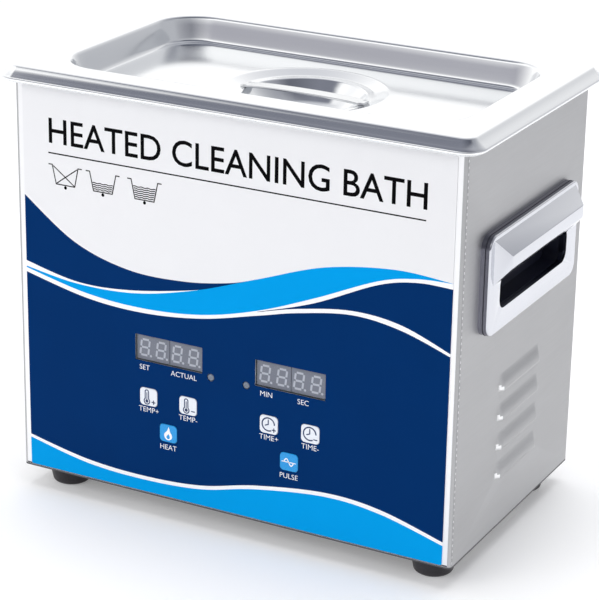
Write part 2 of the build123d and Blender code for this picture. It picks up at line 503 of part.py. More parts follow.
for side_name, flank in FLANKS.items():
    hood_mid = GRIP_Z + (HOOD_BASE_LOW + HOOD_BASE_HIGH) / 2
    ridge_mid = GRIP_Z + (HOOD_RIDGE_LOW + HOOD_RIDGE_HIGH) / 2
    hood_h, ridge_h = HOOD_BASE_HIGH - HOOD_BASE_LOW, HOOD_RIDGE_HIGH - HOOD_RIDGE_LOW
    outward = Axis.X if side_name == "right" else -Axis.X
    pocket_at = (0, GRIP_Z + POCKET_UP)
    with BuildPart() as grip:
        block(flank, GRIP_W, GRIP_H, GRIP_T, GRIP_R, (0, GRIP_Z))
        fillet(grip.edges().group_by(outward)[-1], GRIP_EDGE_R)
        frustum(flank.offset(GRIP_T - SHEET), (2 * HOOD_BASE_Y, hood_h), (0, hood_mid),
                flank.offset(HOOD_OUT), (2 * HOOD_RIDGE_Y, ridge_h), (0, ridge_mid))
        fillet(grip.edges().group_by(outward)[-1], GRIP_EDGE_R)
        block(flank, POCKET_W + 2 * POCKET_RIM + GAP, POCKET_H + 2 * POCKET_RIM + GAP,
              POCKET_RIM_T + GAP, POCKET_R, pocket_at, mode=Mode.SUBTRACT)
        block(flank, POCKET_W, POCKET_H, GRIP_T - HOOD_WALL, POCKET_R, pocket_at,
              mode=Mode.SUBTRACT)
        frustum(flank.offset(GRIP_T - HOOD_WALL - 1), (POCKET_W - 2, HOOD_HOLLOW_H),
                (0, GRIP_Z + HOOD_HOLLOW_UP),
                flank.offset(HOOD_OUT - HOOD_WALL), (POCKET_W - 4, ridge_h),
                (0, ridge_mid - 2), mode=Mode.SUBTRACT)
        block(flank.offset(-1), SLOT_W, SLOT_HIGH - SLOT_LOW, HOOD_OUT + 2, SLOT_R,
              (0, GRIP_Z + (SLOT_LOW + SLOT_HIGH) / 2), mode=Mode.SUBTRACT)
        rods(flank.offset(-1), POST_BORE_R, 5.0, GRIP_SPOTS, Mode.SUBTRACT)
        for y in (-GRIP_SEAM_Y, GRIP_SEAM_Y):
            split(bisect_by=Plane.XZ.offset(y), keep=Keep.BOTH)
    write_group([grip], f"grip_{side_name}")

    with BuildPart() as pocket:
        block(flank, POCKET_W + 2 * POCKET_RIM, POCKET_H + 2 * POCKET_RIM, POCKET_RIM_T,
              POCKET_R, pocket_at)
        block(flank, POCKET_W + 2 * POCKET_WALL, POCKET_H + 2 * POCKET_WALL,
              -POCKET_DEPTH - POCKET_WALL, POCKET_R, pocket_at)
        block(flank.offset(1), POCKET_W, POCKET_H, -POCKET_DEPTH - 1, POCKET_R - POCKET_WALL,
              pocket_at, mode=Mode.SUBTRACT)
    write(pocket, f"pocket_{side_name}")

with BuildPart() as grip_screws:
    for flank in FLANKS.values():
        rods(flank.offset(-SHEET), M3_HEAD_R, -M3_HEAD_H, GRIP_SPOTS)
        rods(flank.offset(-SHEET), M3_R, SHEET + 3.5, GRIP_SPOTS)
write(grip_screws, "grip_screws")

# ---------------------------------------------------------------- transducers, heaters, sensor

HORN_Z = TANK_UNDER_Z - HORN_H
STACK_H = 2 * PIEZO_T + 3 * ELECTRODE_T
MASS_Z = HORN_Z - STACK_H
STACK_SPOTS = [(x, 0) for x in TRANSDUCER_X]
BORE_R = STUD_R + STUD_GAP

with BuildPart() as horns:
    for x in TRANSDUCER_X:
        with Locations((x, 0, HORN_Z)):
            Cone(HORN_BASE_R, HORN_TOP_R, HORN_H, align=(Align.CENTER, Align.CENTER, Align.MIN))
    rods(FLOOR.offset(HORN_Z - 1), BORE_R, HORN_H - 4, STACK_SPOTS, Mode.SUBTRACT)
write(horns, "horns")

with BuildPart() as piezo_rings:
    for i in range(2):
        ring_z = MASS_Z + ELECTRODE_T + i * (PIEZO_T + ELECTRODE_T)
        rods(FLOOR.offset(ring_z), PIEZO_R, PIEZO_T, STACK_SPOTS)
    rods(FLOOR.offset(MASS_Z - 1), PIEZO_BORE_R, STACK_H + 2, STACK_SPOTS, Mode.SUBTRACT)
write(piezo_rings, "piezo_rings")

with BuildPart() as electrodes:
    for i in range(3):
        plate = FLOOR.offset(MASS_Z + i * (PIEZO_T + ELECTRODE_T))
        rods(plate, PIEZO_R, ELECTRODE_T, STACK_SPOTS)
        for x in TRANSDUCER_X:
            block(plate, 5.0, ELECTRODE_TAB, ELECTRODE_T, at=(x, PIEZO_R + ELECTRODE_TAB / 2 - 1))
    rods(FLOOR.offset(MASS_Z - 1), PIEZO_BORE_R, STACK_H + 2, STACK_SPOTS, Mode.SUBTRACT)
write(electrodes, "electrodes")

with BuildPart() as back_masses:
    rods(FLOOR.offset(MASS_Z - BACK_MASS_H), BACK_MASS_R, BACK_MASS_H, STACK_SPOTS)
    chamfer(back_masses.edges().group_by(Axis.Z)[0], 1.0)
    rods(FLOOR.offset(MASS_Z - BACK_MASS_H - 1), BORE_R, BACK_MASS_H + 2, STACK_SPOTS,
         Mode.SUBTRACT)
write(back_masses, "back_masses")

with BuildPart() as transducer_bolts:
    screws(looking_down(MASS_Z - BACK_MASS_H), STACK_SPOTS, BOLT_HEAD_R, BOLT_HEAD_H, STUD_R,
           BACK_MASS_H + STACK_H + 12.0)
    with BuildSketch(looking_down(MASS_Z - BACK_MASS_H - BOLT_HEAD_H)):
        with Locations(*STACK_SPOTS):
            RegularPolygon(4.6, 6)
    extrude(amount=-5.0, mode=Mode.SUBTRACT)
write(transducer_bolts, "transducer_bolts")

TANK_FRONT = FRONT.offset(TANK_D / 2 + SHEET - BODY_D / 2)
TANK_REAR = REAR.offset(TANK_D / 2 + SHEET - BODY_D / 2)
for name, wall in (("front", TANK_FRONT), ("rear", TANK_REAR)):
    with BuildPart() as heater_pad:
        block(wall, HEATER_W, HEATER_H, HEATER_T, 4.0, (0, HEATER_Z))
        block(wall.offset(HEATER_T), 16.0, 10.0, 2.0, 2.0, (HEATER_W / 2 - 12, HEATER_Z - 16))
    write(heater_pad, f"heater_pad_{name}")

with BuildPart() as temperature_sensor:
    rods(looking_down(TANK_UNDER_Z), SENSOR_R, SENSOR_H)
    rods(looking_down(TANK_UNDER_Z - SENSOR_H), SENSOR_LEAD_R, SENSOR_LEAD_H)
write(temperature_sensor, "temperature_sensor")

# ---------------------------------------------------------------- main board

with BuildPart() as main_board:
    block(FLOOR.offset(MAIN_Z0), MAIN_W, MAIN_D, BOARD_T, at=(MAIN_X, MAIN_Y))
    rods(FLOOR.offset(MAIN_Z0 - 1), POST_BORE_R, BOARD_T + 2, MAIN_SPOTS, Mode.SUBTRACT)
write(main_board, "main_board")

with BuildPart() as main_standoffs:
    rods(FLOOR.offset(HOUSING_Z0), POST_R, MAIN_UP, MAIN_SPOTS)
    rods(FLOOR.offset(HOUSING_Z0 + 1), POST_BORE_R, MAIN_UP, MAIN_SPOTS, Mode.SUBTRACT)
write(main_standoffs, "main_standoffs")

with BuildPart() as main_screws:
    screws(FLOOR.offset(MAIN_Z1), MAIN_SPOTS, M3_HEAD_R, M3_HEAD_H, M3_R, 7.0)
write(main_screws, "main_screws")

with BuildPart() as heatsink:
    block(FLOOR.offset(MAIN_Z1), SINK_W, SINK_D, SINK_H, at=(SINK_X, SINK_Y))
    fin_pitch = SINK_W / FINS
    with BuildSketch(FLOOR.offset(MAIN_Z1 + 4)):
        with Locations((SINK_X, SINK_Y)):
            with GridLocations(fin_pitch, SINK_D, FINS - 1, 1):
                Rectangle(fin_pitch - 2, SINK_D + 2)
    extrude(amount=SINK_H, mode=Mode.SUBTRACT)
write(heatsink, "heatsink")

with BuildPart() as transformer:
    block(FLOOR.offset(MAIN_Z1), CORE_W, CORE_D, CORE_H, at=(CORE_X, CORE_Y))
    block(FLOOR.offset(MAIN_Z1 + 4), CORE_W - 10, CORE_D + 8, CORE_H - 8, 3.0, (CORE_X, CORE_Y))
write(transformer, "transformer")

with BuildPart() as capacitors:
    rods(FLOOR.offset(MAIN_Z1), CAP_R, CAP_H, CAP_SPOTS)
    fillet(capacitors.edges().group_by(Axis.Z)[-1], 0.8)
write(capacitors, "capacitors")

HEADER_Z = BOARD_Z - 27.0
HEADER_Y = MAIN_Y - MAIN_D / 2 + 6.0

with BuildPart() as headers:
    block(BOARD_REAR, RIBBON_W + 4, 5.0, HEADER_H, at=(-RIBBON_X, HEADER_Z))
    block(FLOOR.offset(MAIN_Z1), RIBBON_W + 4, 5.0, HEADER_H, at=(RIBBON_X, HEADER_Y))
write(headers, "headers")

with BuildPart() as display_ribbon:
    with BuildLine(Plane.YZ) as ribbon_run:
        board_y = -BODY_D / 2 + BOARD_BACK + BOARD_T + HEADER_H
        FilletPolyline((board_y, HEADER_Z), (board_y + 4, HEADER_Z),
                       (board_y + 6, MAIN_Z1 + HEADER_H + 5),
                       (HEADER_Y, MAIN_Z1 + HEADER_H + 5), (HEADER_Y, MAIN_Z1 + HEADER_H),
                       radius=1.8)
    with BuildSketch(Plane(origin=ribbon_run.line @ 0, x_dir=(1, 0, 0), z_dir=(0, 1, 0))):
        with Locations((RIBBON_X, 0)):
            Rectangle(RIBBON_W, RIBBON_T)
    sweep(path=ribbon_run.line)
write(display_ribbon, "display_ribbon")

# ---------------------------------------------------------------- fan

with BuildPart() as fan_frame:
    block(FLOOR.offset(HOUSING_Z0), FAN_SIZE, FAN_SIZE, FAN_H, 4.0, (FAN_X, FAN_Y))
    rods(FLOOR.offset(HOUSING_Z0 - 1), FAN_BORE_R, FAN_H + 2, [(FAN_X, FAN_Y)], Mode.SUBTRACT)
    rods(FLOOR.offset(HOUSING_Z0 - 1), POST_BORE_R, FAN_H + 2, FAN_SPOTS, Mode.SUBTRACT)
    rods(FLOOR.offset(HOUSING_Z0), FAN_HUB_R, FAN_HUB_H, [(FAN_X, FAN_Y)])
    for width, height in ((2 * FAN_BORE_R + 2, FAN_STRUT), (FAN_STRUT, 2 * FAN_BORE_R + 2)):
        block(FLOOR.offset(HOUSING_Z0), width, height, FAN_HUB_H, at=(FAN_X, FAN_Y))
    rods(FLOOR.offset(HOUSING_Z0), FAN_PIN_R, FAN_HUB_H + FAN_PIN_H, [(FAN_X, FAN_Y)])
write(fan_frame, "fan_frame")

with BuildPart() as fan_rotor:
    rotor_z, rotor_h = HOUSING_Z0 + ROTOR_LOW, ROTOR_HIGH - ROTOR_LOW
    rods(FLOOR.offset(rotor_z), FAN_HUB_R, rotor_h, [(FAN_X, FAN_Y)])
    with Locations((FAN_X, FAN_Y, rotor_z + rotor_h / 2)):
        with PolarLocations((FAN_HUB_R + ROTOR_TIP_R) / 2 - 0.5, BLADES):
            Box(ROTOR_TIP_R - FAN_HUB_R + 1, BLADE_T, BLADE_CHORD, rotation=(BLADE_PITCH, 0, 0))
    rods(FLOOR.offset(rotor_z - 1), FAN_PIN_R + FAN_FIT, rotor_h + 1 - ROTOR_CAP + 1,
         [(FAN_X, FAN_Y)], Mode.SUBTRACT)
write(fan_rotor, "fan_rotor")

# ---------------------------------------------------------------- mains inlet

socket_at = (-INLET_X, INLET_Z + SOCKET_UP)
drawer_at = (-INLET_X, INLET_Z - DRAWER_DOWN)

with BuildPart() as inlet_socket:
    block(REAR, INLET_W, INLET_H, INLET_T, 3.0, (-INLET_X, INLET_Z))
    block(REAR, INLET_BODY_W, INLET_BODY_H, -INLET_DEPTH, at=(-INLET_X, INLET_Z))
    block(REAR.offset(INLET_T + 1), SOCKET_W, SOCKET_H, -SOCKET_DEPTH - 1, SOCKET_R, socket_at,
          mode=Mode.SUBTRACT)
    block(REAR.offset(INLET_T + 1), DRAWER_W + 2 * GAP, DRAWER_H + 2 * GAP,
          -DRAWER_DEPTH - GAP - 1, at=drawer_at, mode=Mode.SUBTRACT)
write(inlet_socket, "inlet_socket")

with BuildPart() as inlet_pins:
    with BuildSketch(REAR.offset(INLET_T - SOCKET_DEPTH)):
        with Locations(*[(socket_at[0] + x, socket_at[1] + z) for x, z in PIN_SPOTS]):
            Rectangle(PIN_W, PIN_T)
    extrude(amount=PIN_L)
    chamfer(inlet_pins.edges().group_by(Axis.Y)[-1], 0.4)
write(inlet_pins, "inlet_pins")

with BuildPart() as fuse_drawer:
    drawer_face = REAR.offset(INLET_T)
    block(drawer_face, DRAWER_W, DRAWER_H, -DRAWER_DEPTH, at=drawer_at)
    fuse_y = BODY_D / 2 + INLET_T - FUSE_IN
    with BuildSketch(FLOOR.offset(INLET_Z - DRAWER_DOWN - DRAWER_H / 2 + DRAWER_WALL)):
        with Locations((INLET_X, fuse_y)):
            Rectangle(FUSE_L + 1, 2 * FUSE_R + 1)
    extrude(amount=DRAWER_H, mode=Mode.SUBTRACT)
    block(drawer_face.offset(-1), 8.0, 2.0, 2.0, at=(drawer_at[0], drawer_at[1] + 1.5),
          mode=Mode.SUBTRACT)
write(fuse_drawer, "fuse_drawer")

with BuildPart() as fuse:
    fuse_z = INLET_Z - DRAWER_DOWN - DRAWER_H / 2 + DRAWER_WALL + FUSE_R
    with BuildSketch(Plane(origin=(INLET_X - FUSE_L / 2, fuse_y, fuse_z), z_dir=(1, 0, 0))):
        Circle(FUSE_R)
    extrude(amount=FUSE_L)
write(fuse, "fuse")

# ---------------------------------------------------------------- power switch

with BuildPart() as switch_frame:
    block(REAR, SWITCH_W, SWITCH_H, SWITCH_T, 1.5, (-SWITCH_X, SWITCH_Z))
    block(REAR, SWITCH_W - 2, SWITCH_H - 2, -SWITCH_DEPTH, at=(-SWITCH_X, SWITCH_Z))
    block(REAR.offset(SWITCH_T + 1), ROCKER_W + 2 * GAP, SWITCH_H - 2 - 2 * SWITCH_WALL,
          -SWITCH_DEPTH + 1, at=(-SWITCH_X, SWITCH_Z), mode=Mode.SUBTRACT)
    with BuildSketch(Plane(origin=(SWITCH_X, PIVOT_Y, SWITCH_Z), z_dir=(1, 0, 0))):
        Circle(ROCKER_PIN_R)
    extrude(amount=(SWITCH_W - 3) / 2, both=True)
write(switch_frame, "switch_frame")

tilt = radians(ROCKER_TILT)
ROCKER_PLANE = Plane(origin=(SWITCH_X, PIVOT_Y, SWITCH_Z), x_dir=(0, cos(tilt), -sin(tilt)),
                     z_dir=(1, 0, 0))

with BuildPart() as switch_rocker:
    half_h = ROCKER_H / 2
    with BuildSketch(ROCKER_PLANE):
        with BuildLine():
            Polyline((ROCKER_OUT, -half_h), (ROCKER_OUT - ROCKER_DIP, 0), (ROCKER_OUT, half_h),
                     (0, half_h), (-ROCKER_IN, 3.0), (-ROCKER_IN, -3.0), (0, -half_h),
                     close=True)
        make_face()
        Circle(ROCKER_PIN_R + ROCKER_FIT, mode=Mode.SUBTRACT)
    extrude(amount=ROCKER_W / 2, both=True)
write(switch_rocker, "switch_rocker")
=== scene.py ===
"""Looks for the bench-top ultrasonic cleaner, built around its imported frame.

Shapes are written in millimetres and scaled by MM when a mesh is made. The front panel's
artwork is drawn in the (x, z) plane of the panel, and the panel faces -Y.
"""

import math
from contextlib import contextmanager

import bmesh
import bpy
from mathutils import Matrix, Vector
from mathutils.geometry import delaunay_2d_cdt


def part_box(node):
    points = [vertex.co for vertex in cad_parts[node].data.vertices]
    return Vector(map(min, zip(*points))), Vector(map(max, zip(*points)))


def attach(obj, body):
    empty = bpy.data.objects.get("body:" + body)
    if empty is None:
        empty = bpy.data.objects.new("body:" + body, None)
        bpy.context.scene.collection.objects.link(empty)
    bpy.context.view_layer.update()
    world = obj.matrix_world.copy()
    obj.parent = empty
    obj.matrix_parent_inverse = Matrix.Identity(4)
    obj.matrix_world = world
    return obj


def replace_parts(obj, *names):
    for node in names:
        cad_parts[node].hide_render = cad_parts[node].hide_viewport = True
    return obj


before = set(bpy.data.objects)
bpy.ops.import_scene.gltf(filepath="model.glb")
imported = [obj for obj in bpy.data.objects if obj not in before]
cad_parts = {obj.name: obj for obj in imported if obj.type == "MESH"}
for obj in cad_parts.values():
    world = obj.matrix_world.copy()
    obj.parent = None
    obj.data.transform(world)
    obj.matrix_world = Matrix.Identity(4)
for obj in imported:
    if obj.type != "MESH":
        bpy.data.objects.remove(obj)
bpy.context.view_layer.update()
MM = 0.001

# ---------------------------------------------------------------- driving dimensions

SHEET, LID_SHEET, BEND_R, PROUD = 1.0, 0.9, 2.0, 0.03
MERGE = 1e-6
CORNERS = ((1, 1, 0), (-1, 1, 90), (-1, -1, 180), (1, -1, 270))

LID_SLOPE_IN, LID_SLOPE_H, LID_LIP_H, LID_CORNER_R, LID_HEM = 6.3, 5.2, 1.8, 12.0, 4.0
PAN_W, PAN_D, PAN_R, PAN_DEPTH, PAN_TAPER = 234.0, 132.0, 24.0, 14.0, math.radians(19)
PAN_FILLET = 3.0
STRAP_RISE, STRAP_SHARE, STRAP_T, STRAP_FOOT, STRAP_STEPS = 1.0, 0.75, 1.2, 5.0, 40
STRAP_END, SEAT_GAP, WELD_IN, WELD_Y = 3.0, 0.06, 2.4, 3.2
DISH_R, LEDGE_OUT_R, LEDGE_IN_R, BOWL_R = 45.0, 38.0, 34.0, 20.0
LEDGE_DOWN, BOWL_DOWN = 2.5, 14.5

LOUVRE_W, LOUVRE_H, LOUVRE_OUT, LOUVRE_PITCH = 54.0, 10.0, 2.4, 16.9
LOUVRE_TOP_Z, LOUVRES, LOUVRE_END, LOUVRE_HIGHLIGHT_ROW = 99.0, 4, 3.4, 5
POCKET_MARGIN, POCKET_R, GRIP_SHADE_BAND, GRIP_SEAM, GRIP_ROUND = 1.0, 5.0, 4.5, 44.0, 1.3
JOINT_GAP, JOINT_IN, JOINT_H, JOINT_R = 0.08, 2.3, 0.55, 7.0
DASH_IN, DASH_OUT, DASH_H, DASH_PITCH = 0.3, 0.75, 1.3, 3.4

TITLE, TITLE_W, TITLE_H, LEGEND_H = "HEATED CLEANING BATH", 223.0, 14.2, 2.9
TITLE_Z, UNDERLINE_Z, UNDERLINE_HALF = 205.7, 200.3, 111.6
PICTOGRAM_TOP, PICTOGRAM_LOW, PICTOGRAMS = 194.0, 183.4, (-101.0, -77.3, -51.4)
FILTER_DEPTH, FILTER_GAP = 1.3, 1.7
FIGURE_W, FIGURE_H, FIGURE_LEAN = 2.5, 4.5, 0.12
WINDOW_RIM, KEY_RIM, KEY_CORNER_R, CUT_GAP, LED_R = 1.5, 1.2, 2.2, 0.3, 2.05
WINDOWS = ("display_window_temp", "display_window_time")
LAMPS = ("led_heater", "led_ultrasonic")
KEYS = ("key_temp_up", "key_temp_down", "key_heater", "key_time_up", "key_time_down",
        "key_ultrasonic")


def box_mm(node):
    """A CAD node's lowest and highest corners, in millimetres."""
    low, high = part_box(node)
    return low / MM, high / MM


HOUSING_HIGH = box_mm("base_plate")[1]
HALF_W, HALF_D = HOUSING_HIGH.x, HOUSING_HIGH.y
HOUSING_Z0, HOUSING_Z1 = HOUSING_HIGH.z, box_mm("housing_shell")[1].z
PRINT_Y = box_mm("front_overlay")[0].y - PROUD
LID_HIGH = box_mm("lid")[1]
FLANGE_Z = box_mm("tank")[1].z
PAN_FLOOR_Z = LID_HIGH.z - PAN_DEPTH

# ---------------------------------------------------------------- node helpers


def add_node(tree, kind, inputs=None, **settings):
    """A shader node with its settings, its constants and its links."""
    made = tree.nodes.new(kind)
    for key, value in settings.items():
        setattr(made, key, value)
    for key, value in (inputs or {}).items():
        if isinstance(value, bpy.types.NodeSocket):
            tree.links.new(value, made.inputs[key])
        else:
            made.inputs[key].default_value = value
    return made


def shade(color, factor):
    """A colour times a factor, with full alpha."""
    return tuple(min(1.0, c * factor) for c in color[:3]) + (1.0,)


def hex_color(text):
    """A linear colour from a six-digit sRGB code."""
    parts = [int(text[i:i + 2], 16) / 255 for i in (0, 2, 4)]
    linear = [c / 12.92 if c <= 0.04045 else ((c + 0.055) / 1.055) ** 2.4 for c in parts]
    return (*linear, 1.0)


def noise(tree, scale, stretch=(1, 1, 1), detail=3.0):
    """A noise texture on object coordinates, stretched per axis."""
    place = add_node(tree, "ShaderNodeTexCoord").outputs["Object"]
    mapped = add_node(tree, "ShaderNodeMapping", {"Vector": place, "Scale": stretch})
    return add_node(tree, "ShaderNodeTexNoise",
                    {"Vector": mapped.outputs[0], "Scale": scale, "Detail": detail,
                     "Roughness": 0.55}).outputs["Fac"]


def remap(tree, value, low, high, source=(0.3, 0.7)):
    """A value mapped from one range to another."""
    return add_node(tree, "ShaderNodeMapRange",
                    {"Value": value, "From Min": source[0], "From Max": source[1],
                     "To Min": low, "To Max": high}).outputs[0]


def blend_color(tree, factor, first, second):
    """Two colours or sockets mixed by a factor socket."""
    mixed = add_node(tree, "ShaderNodeMix", {"Factor": factor}, data_type="RGBA")
    for index, value in ((6, first), (7, second)):
        if isinstance(value, bpy.types.NodeSocket):
            tree.links.new(value, mixed.inputs[index])
        else:
            mixed.inputs[index].default_value = value
    return mixed.outputs[2]


M = {}


def new_material(name):
    """A material kept in M under this name; Blender may add a number to its own."""
    M[name] = bpy.data.materials.new(name)
    M[name].use_nodes = True
    return M[name]


def surface(name, color, rough, metallic=0.0, tint=0.06, cloud=25.0, grain=500.0,
            stretch=(1, 1, 1), bump=0.15, depth=0.02, swing=0.06, wear=0.0, coat=0.0,
            sheen=0.0, gloss=0.5, anisotropic=0.0, detail=3.0):
    """A material with mottled colour, grain in roughness and bump, and worn edges."""
    material = new_material(name)
    tree = material.node_tree
    shader = tree.nodes["Principled BSDF"]
    for key, value in (("Metallic", metallic), ("Specular IOR Level", gloss),
                       ("Coat Weight", coat), ("Coat Roughness", 0.08),
                       ("Sheen Weight", sheen), ("Anisotropic", anisotropic)):
        shader.inputs[key].default_value = value
    clouds = noise(tree, cloud, detail=2.0)
    tone = blend_color(tree, remap(tree, clouds, 0.0, 1.0), shade(color, 1 - tint),
                       shade(color, 1 + tint))
    fine = noise(tree, grain, stretch, detail)
    if wear:
        edge = add_node(tree, "ShaderNodeNewGeometry").outputs["Pointiness"]
        worn = remap(tree, edge, 0.0, wear, (0.52, 0.62))
        tone = blend_color(tree, worn, tone, shade(color, 1.5) if metallic else
                           tuple(0.6 * c + 0.25 for c in color[:3]) + (1.0,))
    tree.links.new(tone, shader.inputs["Base Color"])
    tree.links.new(remap(tree, fine, rough - swing, rough + swing), shader.inputs["Roughness"])
    relief = add_node(tree, "ShaderNodeBump",
                      {"Height": fine, "Strength": bump, "Distance": depth * MM})
    tree.links.new(relief.outputs[0], shader.inputs["Normal"])
    return material


BRUSH_X, BRUSH_Y, BRUSH_Z = (0.02, 1, 1), (1, 0.02, 1), (1, 1, 0.02)
TURNED_Z = (1, 1, 0.03)


def brushed(name, color, rough, stretch, swing=0.07, bump=0.12, tint=0.03, wear=0.3,
            anisotropic=0.35):
    """Stainless sheet with a fine one-way grain."""
    return surface(name, color, rough, 1.0, tint, 9.0, 1700.0, stretch, bump, 0.012, swing,
                   wear, anisotropic=anisotropic, detail=4.0)


def clear_pane(name, tone, gloss):
    """Thin clear plastic: mostly see-through, with a sharp gloss and faint smears."""
    material = new_material(name)
    tree = material.node_tree
    tree.nodes.remove(tree.nodes["Principled BSDF"])
    smear = noise(tree, 90.0)
    shine = add_node(tree, "ShaderNodeBsdfGlossy", {"Roughness": remap(tree, smear, 0.03, 0.12)})
    through = add_node(tree, "ShaderNodeBsdfTransparent", {"Color": tone})
    both = add_node(tree, "ShaderNodeMixShader", {"Fac": gloss, 1: through.outputs[0],
                                                  2: shine.outputs[0]})
    tree.links.new(both.outputs[0], tree.nodes["Material Output"].inputs["Surface"])
    return material


def circuit_board(name):
    """Green solder mask with copper tracks showing through and plated holes."""
    material = surface(name, (0.012, 0.15, 0.06), 0.32, grain=900, tint=0.12, coat=0.5)
    tree = material.node_tree
    shader = tree.nodes["Principled BSDF"]
    under = shader.inputs["Base Color"].links[0].from_socket
    place = add_node(tree, "ShaderNodeTexCoord").outputs["Object"]
    tracks = add_node(tree, "ShaderNodeTexBrick",
                      {"Vector": place, "Scale": 90.0, "Mortar Size": 0.06,
                       "Color1": (0, 0, 0, 1), "Color2": (0, 0, 0, 1), "Mortar": (1, 1, 1, 1)})
    pads = add_node(tree, "ShaderNodeTexVoronoi", {"Vector": place, "Scale": 210.0},
                    feature="F1")
    near = remap(tree, pads.outputs["Distance"], 1.0, 0.0, (0.16, 0.20))
    tone = blend_color(tree, tracks.outputs["Color"], under, (0.03, 0.26, 0.11, 1))
    tone = blend_color(tree, near, tone, (0.62, 0.55, 0.38, 1))
    tree.links.new(tone, shader.inputs["Base Color"])
    return material


def coarse_rubber(name, color):
    """Moulded rubber: dull, with a fine pebble and chalky edges."""
    return surface(name, color, 0.72, grain=1400, tint=0.25, cloud=60, bump=0.4, depth=0.05,
                   swing=0.1, wear=0.25, sheen=0.2)


def film(name, code, tint):
    """Printed plastic film with a faint satin texture."""
    return surface(name, hex_color(code), 0.42, tint=tint, grain=2200, bump=0.08, depth=0.01,
                   gloss=0.025)


# Every material, from the casing inwards; M holds them by name.
brushed("side_steel", (0.48, 0.48, 0.485), 0.5, BRUSH_Y, swing=0.04, bump=0.06)
# A brighter copy of the sheet steel, as painted light: on the front wall, and as painted
# highlights on the louvre ends and the fold dashes.
brushed("front_steel", (0.93, 0.93, 0.935), 0.42, BRUSH_X, swing=0.03, bump=0.04,
        tint=0.01)
brushed("lid_steel", (0.90, 0.91, 0.92), 0.13, BRUSH_X, swing=0.015, bump=0.004,
        wear=0.05, tint=0.01, anisotropic=0.0)
brushed("tank_steel", (0.66, 0.67, 0.68), 0.25, BRUSH_Z)
surface("wire_steel", (0.72, 0.73, 0.74), 0.2, 1.0, grain=900, wear=0.3)
brushed("strap_steel", (0.80, 0.81, 0.82), 0.16, BRUSH_X, swing=0.03)
surface("grip_chrome", (0.66, 0.67, 0.71), 0.13, 1.0, 0.02, 14.0, 700, bump=0.03,
        depth=0.01, swing=0.03, wear=0.2)
# A dark copy of the chrome: painted shade on the grips' side faces by the wall.
surface("grip_painted_shade", (0.27, 0.27, 0.32), 0.2, 1.0, 0.05, 14.0, 700, bump=0.03,
        depth=0.01, swing=0.03, wear=0.5)
# Painted shade: dark strips along the front folds and the front's lower edge.
surface("fold_grey", (0.11, 0.11, 0.125), 0.45, 0.6, grain=900)
# Painted shade: the dark line in the gap round each grip.
surface("seam_dark", (0.03, 0.03, 0.045), 0.6, grain=900)
surface("pocket_plastic", (0.016, 0.018, 0.034), 0.42, grain=1500, bump=0.3, depth=0.03,
        tint=0.15, wear=0.1)
film("film_grey", "F0F0F1", 0.006)
film("film_navy", "002F66", 0.03)
film("film_blue", "009FE8", 0.015)
film("film_white", "FDFDFE", 0.004)
film("film_black", "08080A", 0.1)
clear_pane("pane_clear", (0.97, 0.975, 0.985, 1), 0.02)
surface("module_grey", hex_color("757984"), 0.5, tint=0.03, grain=1800)
surface("segment_resin", hex_color("B7BBC3"), 0.35, tint=0.02, grain=1500)
surface("lamp_resin", hex_color("6F7886"), 0.25, tint=0.08, cloud=300, coat=0.4)
surface("key_white", hex_color("EEF2F8"), 0.3, tint=0.01, grain=1600, bump=0.1, wear=0.05)
surface("key_blue", hex_color("0F9AE4"), 0.3, tint=0.02, grain=1600, bump=0.1)
surface("icon_navy", hex_color("0A2A5C"), 0.36, tint=0.03, grain=1600)
surface("icon_white", hex_color("FFFFFF"), 0.36, tint=0.004, grain=1600)
coarse_rubber("foot_rubber", hex_color("2B282C"))
coarse_rubber("seal_rubber", hex_color("D9D9D6"))
coarse_rubber("heater_silicone", hex_color("C2501F"))
surface("screw_zinc", (0.62, 0.62, 0.60), 0.3, 1.0, grain=1200, wear=0.4)
surface("brass", (0.72, 0.50, 0.22), 0.28, 1.0, 0.08, 60, 1200, wear=0.3)
surface("turned_aluminium", (0.74, 0.75, 0.76), 0.3, 1.0, 0.04, 30, 1600, TURNED_Z,
        wear=0.3)
surface("back_steel", (0.48, 0.48, 0.50), 0.36, 1.0, 0.08, 40, 1400, TURNED_Z, wear=0.4)
surface("piezo_ceramic", hex_color("8D877B"), 0.6, tint=0.12, grain=1300)
circuit_board("circuit_board")
surface("switch_body", (0.02, 0.02, 0.022), 0.4, grain=1500, wear=0.1)
surface("heatsink_aluminium", (0.50, 0.51, 0.52), 0.38, 1.0, 0.05, 40, 1500, BRUSH_X,
        wear=0.4)
surface("transformer_wrap", hex_color("4A4136"), 0.5, tint=0.2, cloud=120, grain=1200,
        coat=0.3)
surface("capacitor_sleeve", hex_color("1C2C55"), 0.28, tint=0.08, grain=1500, coat=0.4)
surface("header_plastic", hex_color("EDEBDF"), 0.5, tint=0.04, grain=1500)
surface("ribbon_grey", hex_color("A3A4A7"), 0.5, tint=0.05, grain=900,
        stretch=(1, 0.05, 0.05), bump=0.4, depth=0.2)
surface("fan_plastic", (0.014, 0.014, 0.016), 0.45, grain=1500, wear=0.12)
surface("inlet_plastic", (0.014, 0.014, 0.015), 0.32, grain=1700, bump=0.2, depth=0.02,
        wear=0.1)
clear_pane("fuse_glass", (0.9, 0.94, 0.94, 1), 0.12)
# The base plate made dark as painted shade: the shadow gap under the front.
surface("base_painted_shade", (0.045, 0.045, 0.05), 0.5, tint=0.1, grain=1100, bump=0.25,
        depth=0.03, wear=0.15)

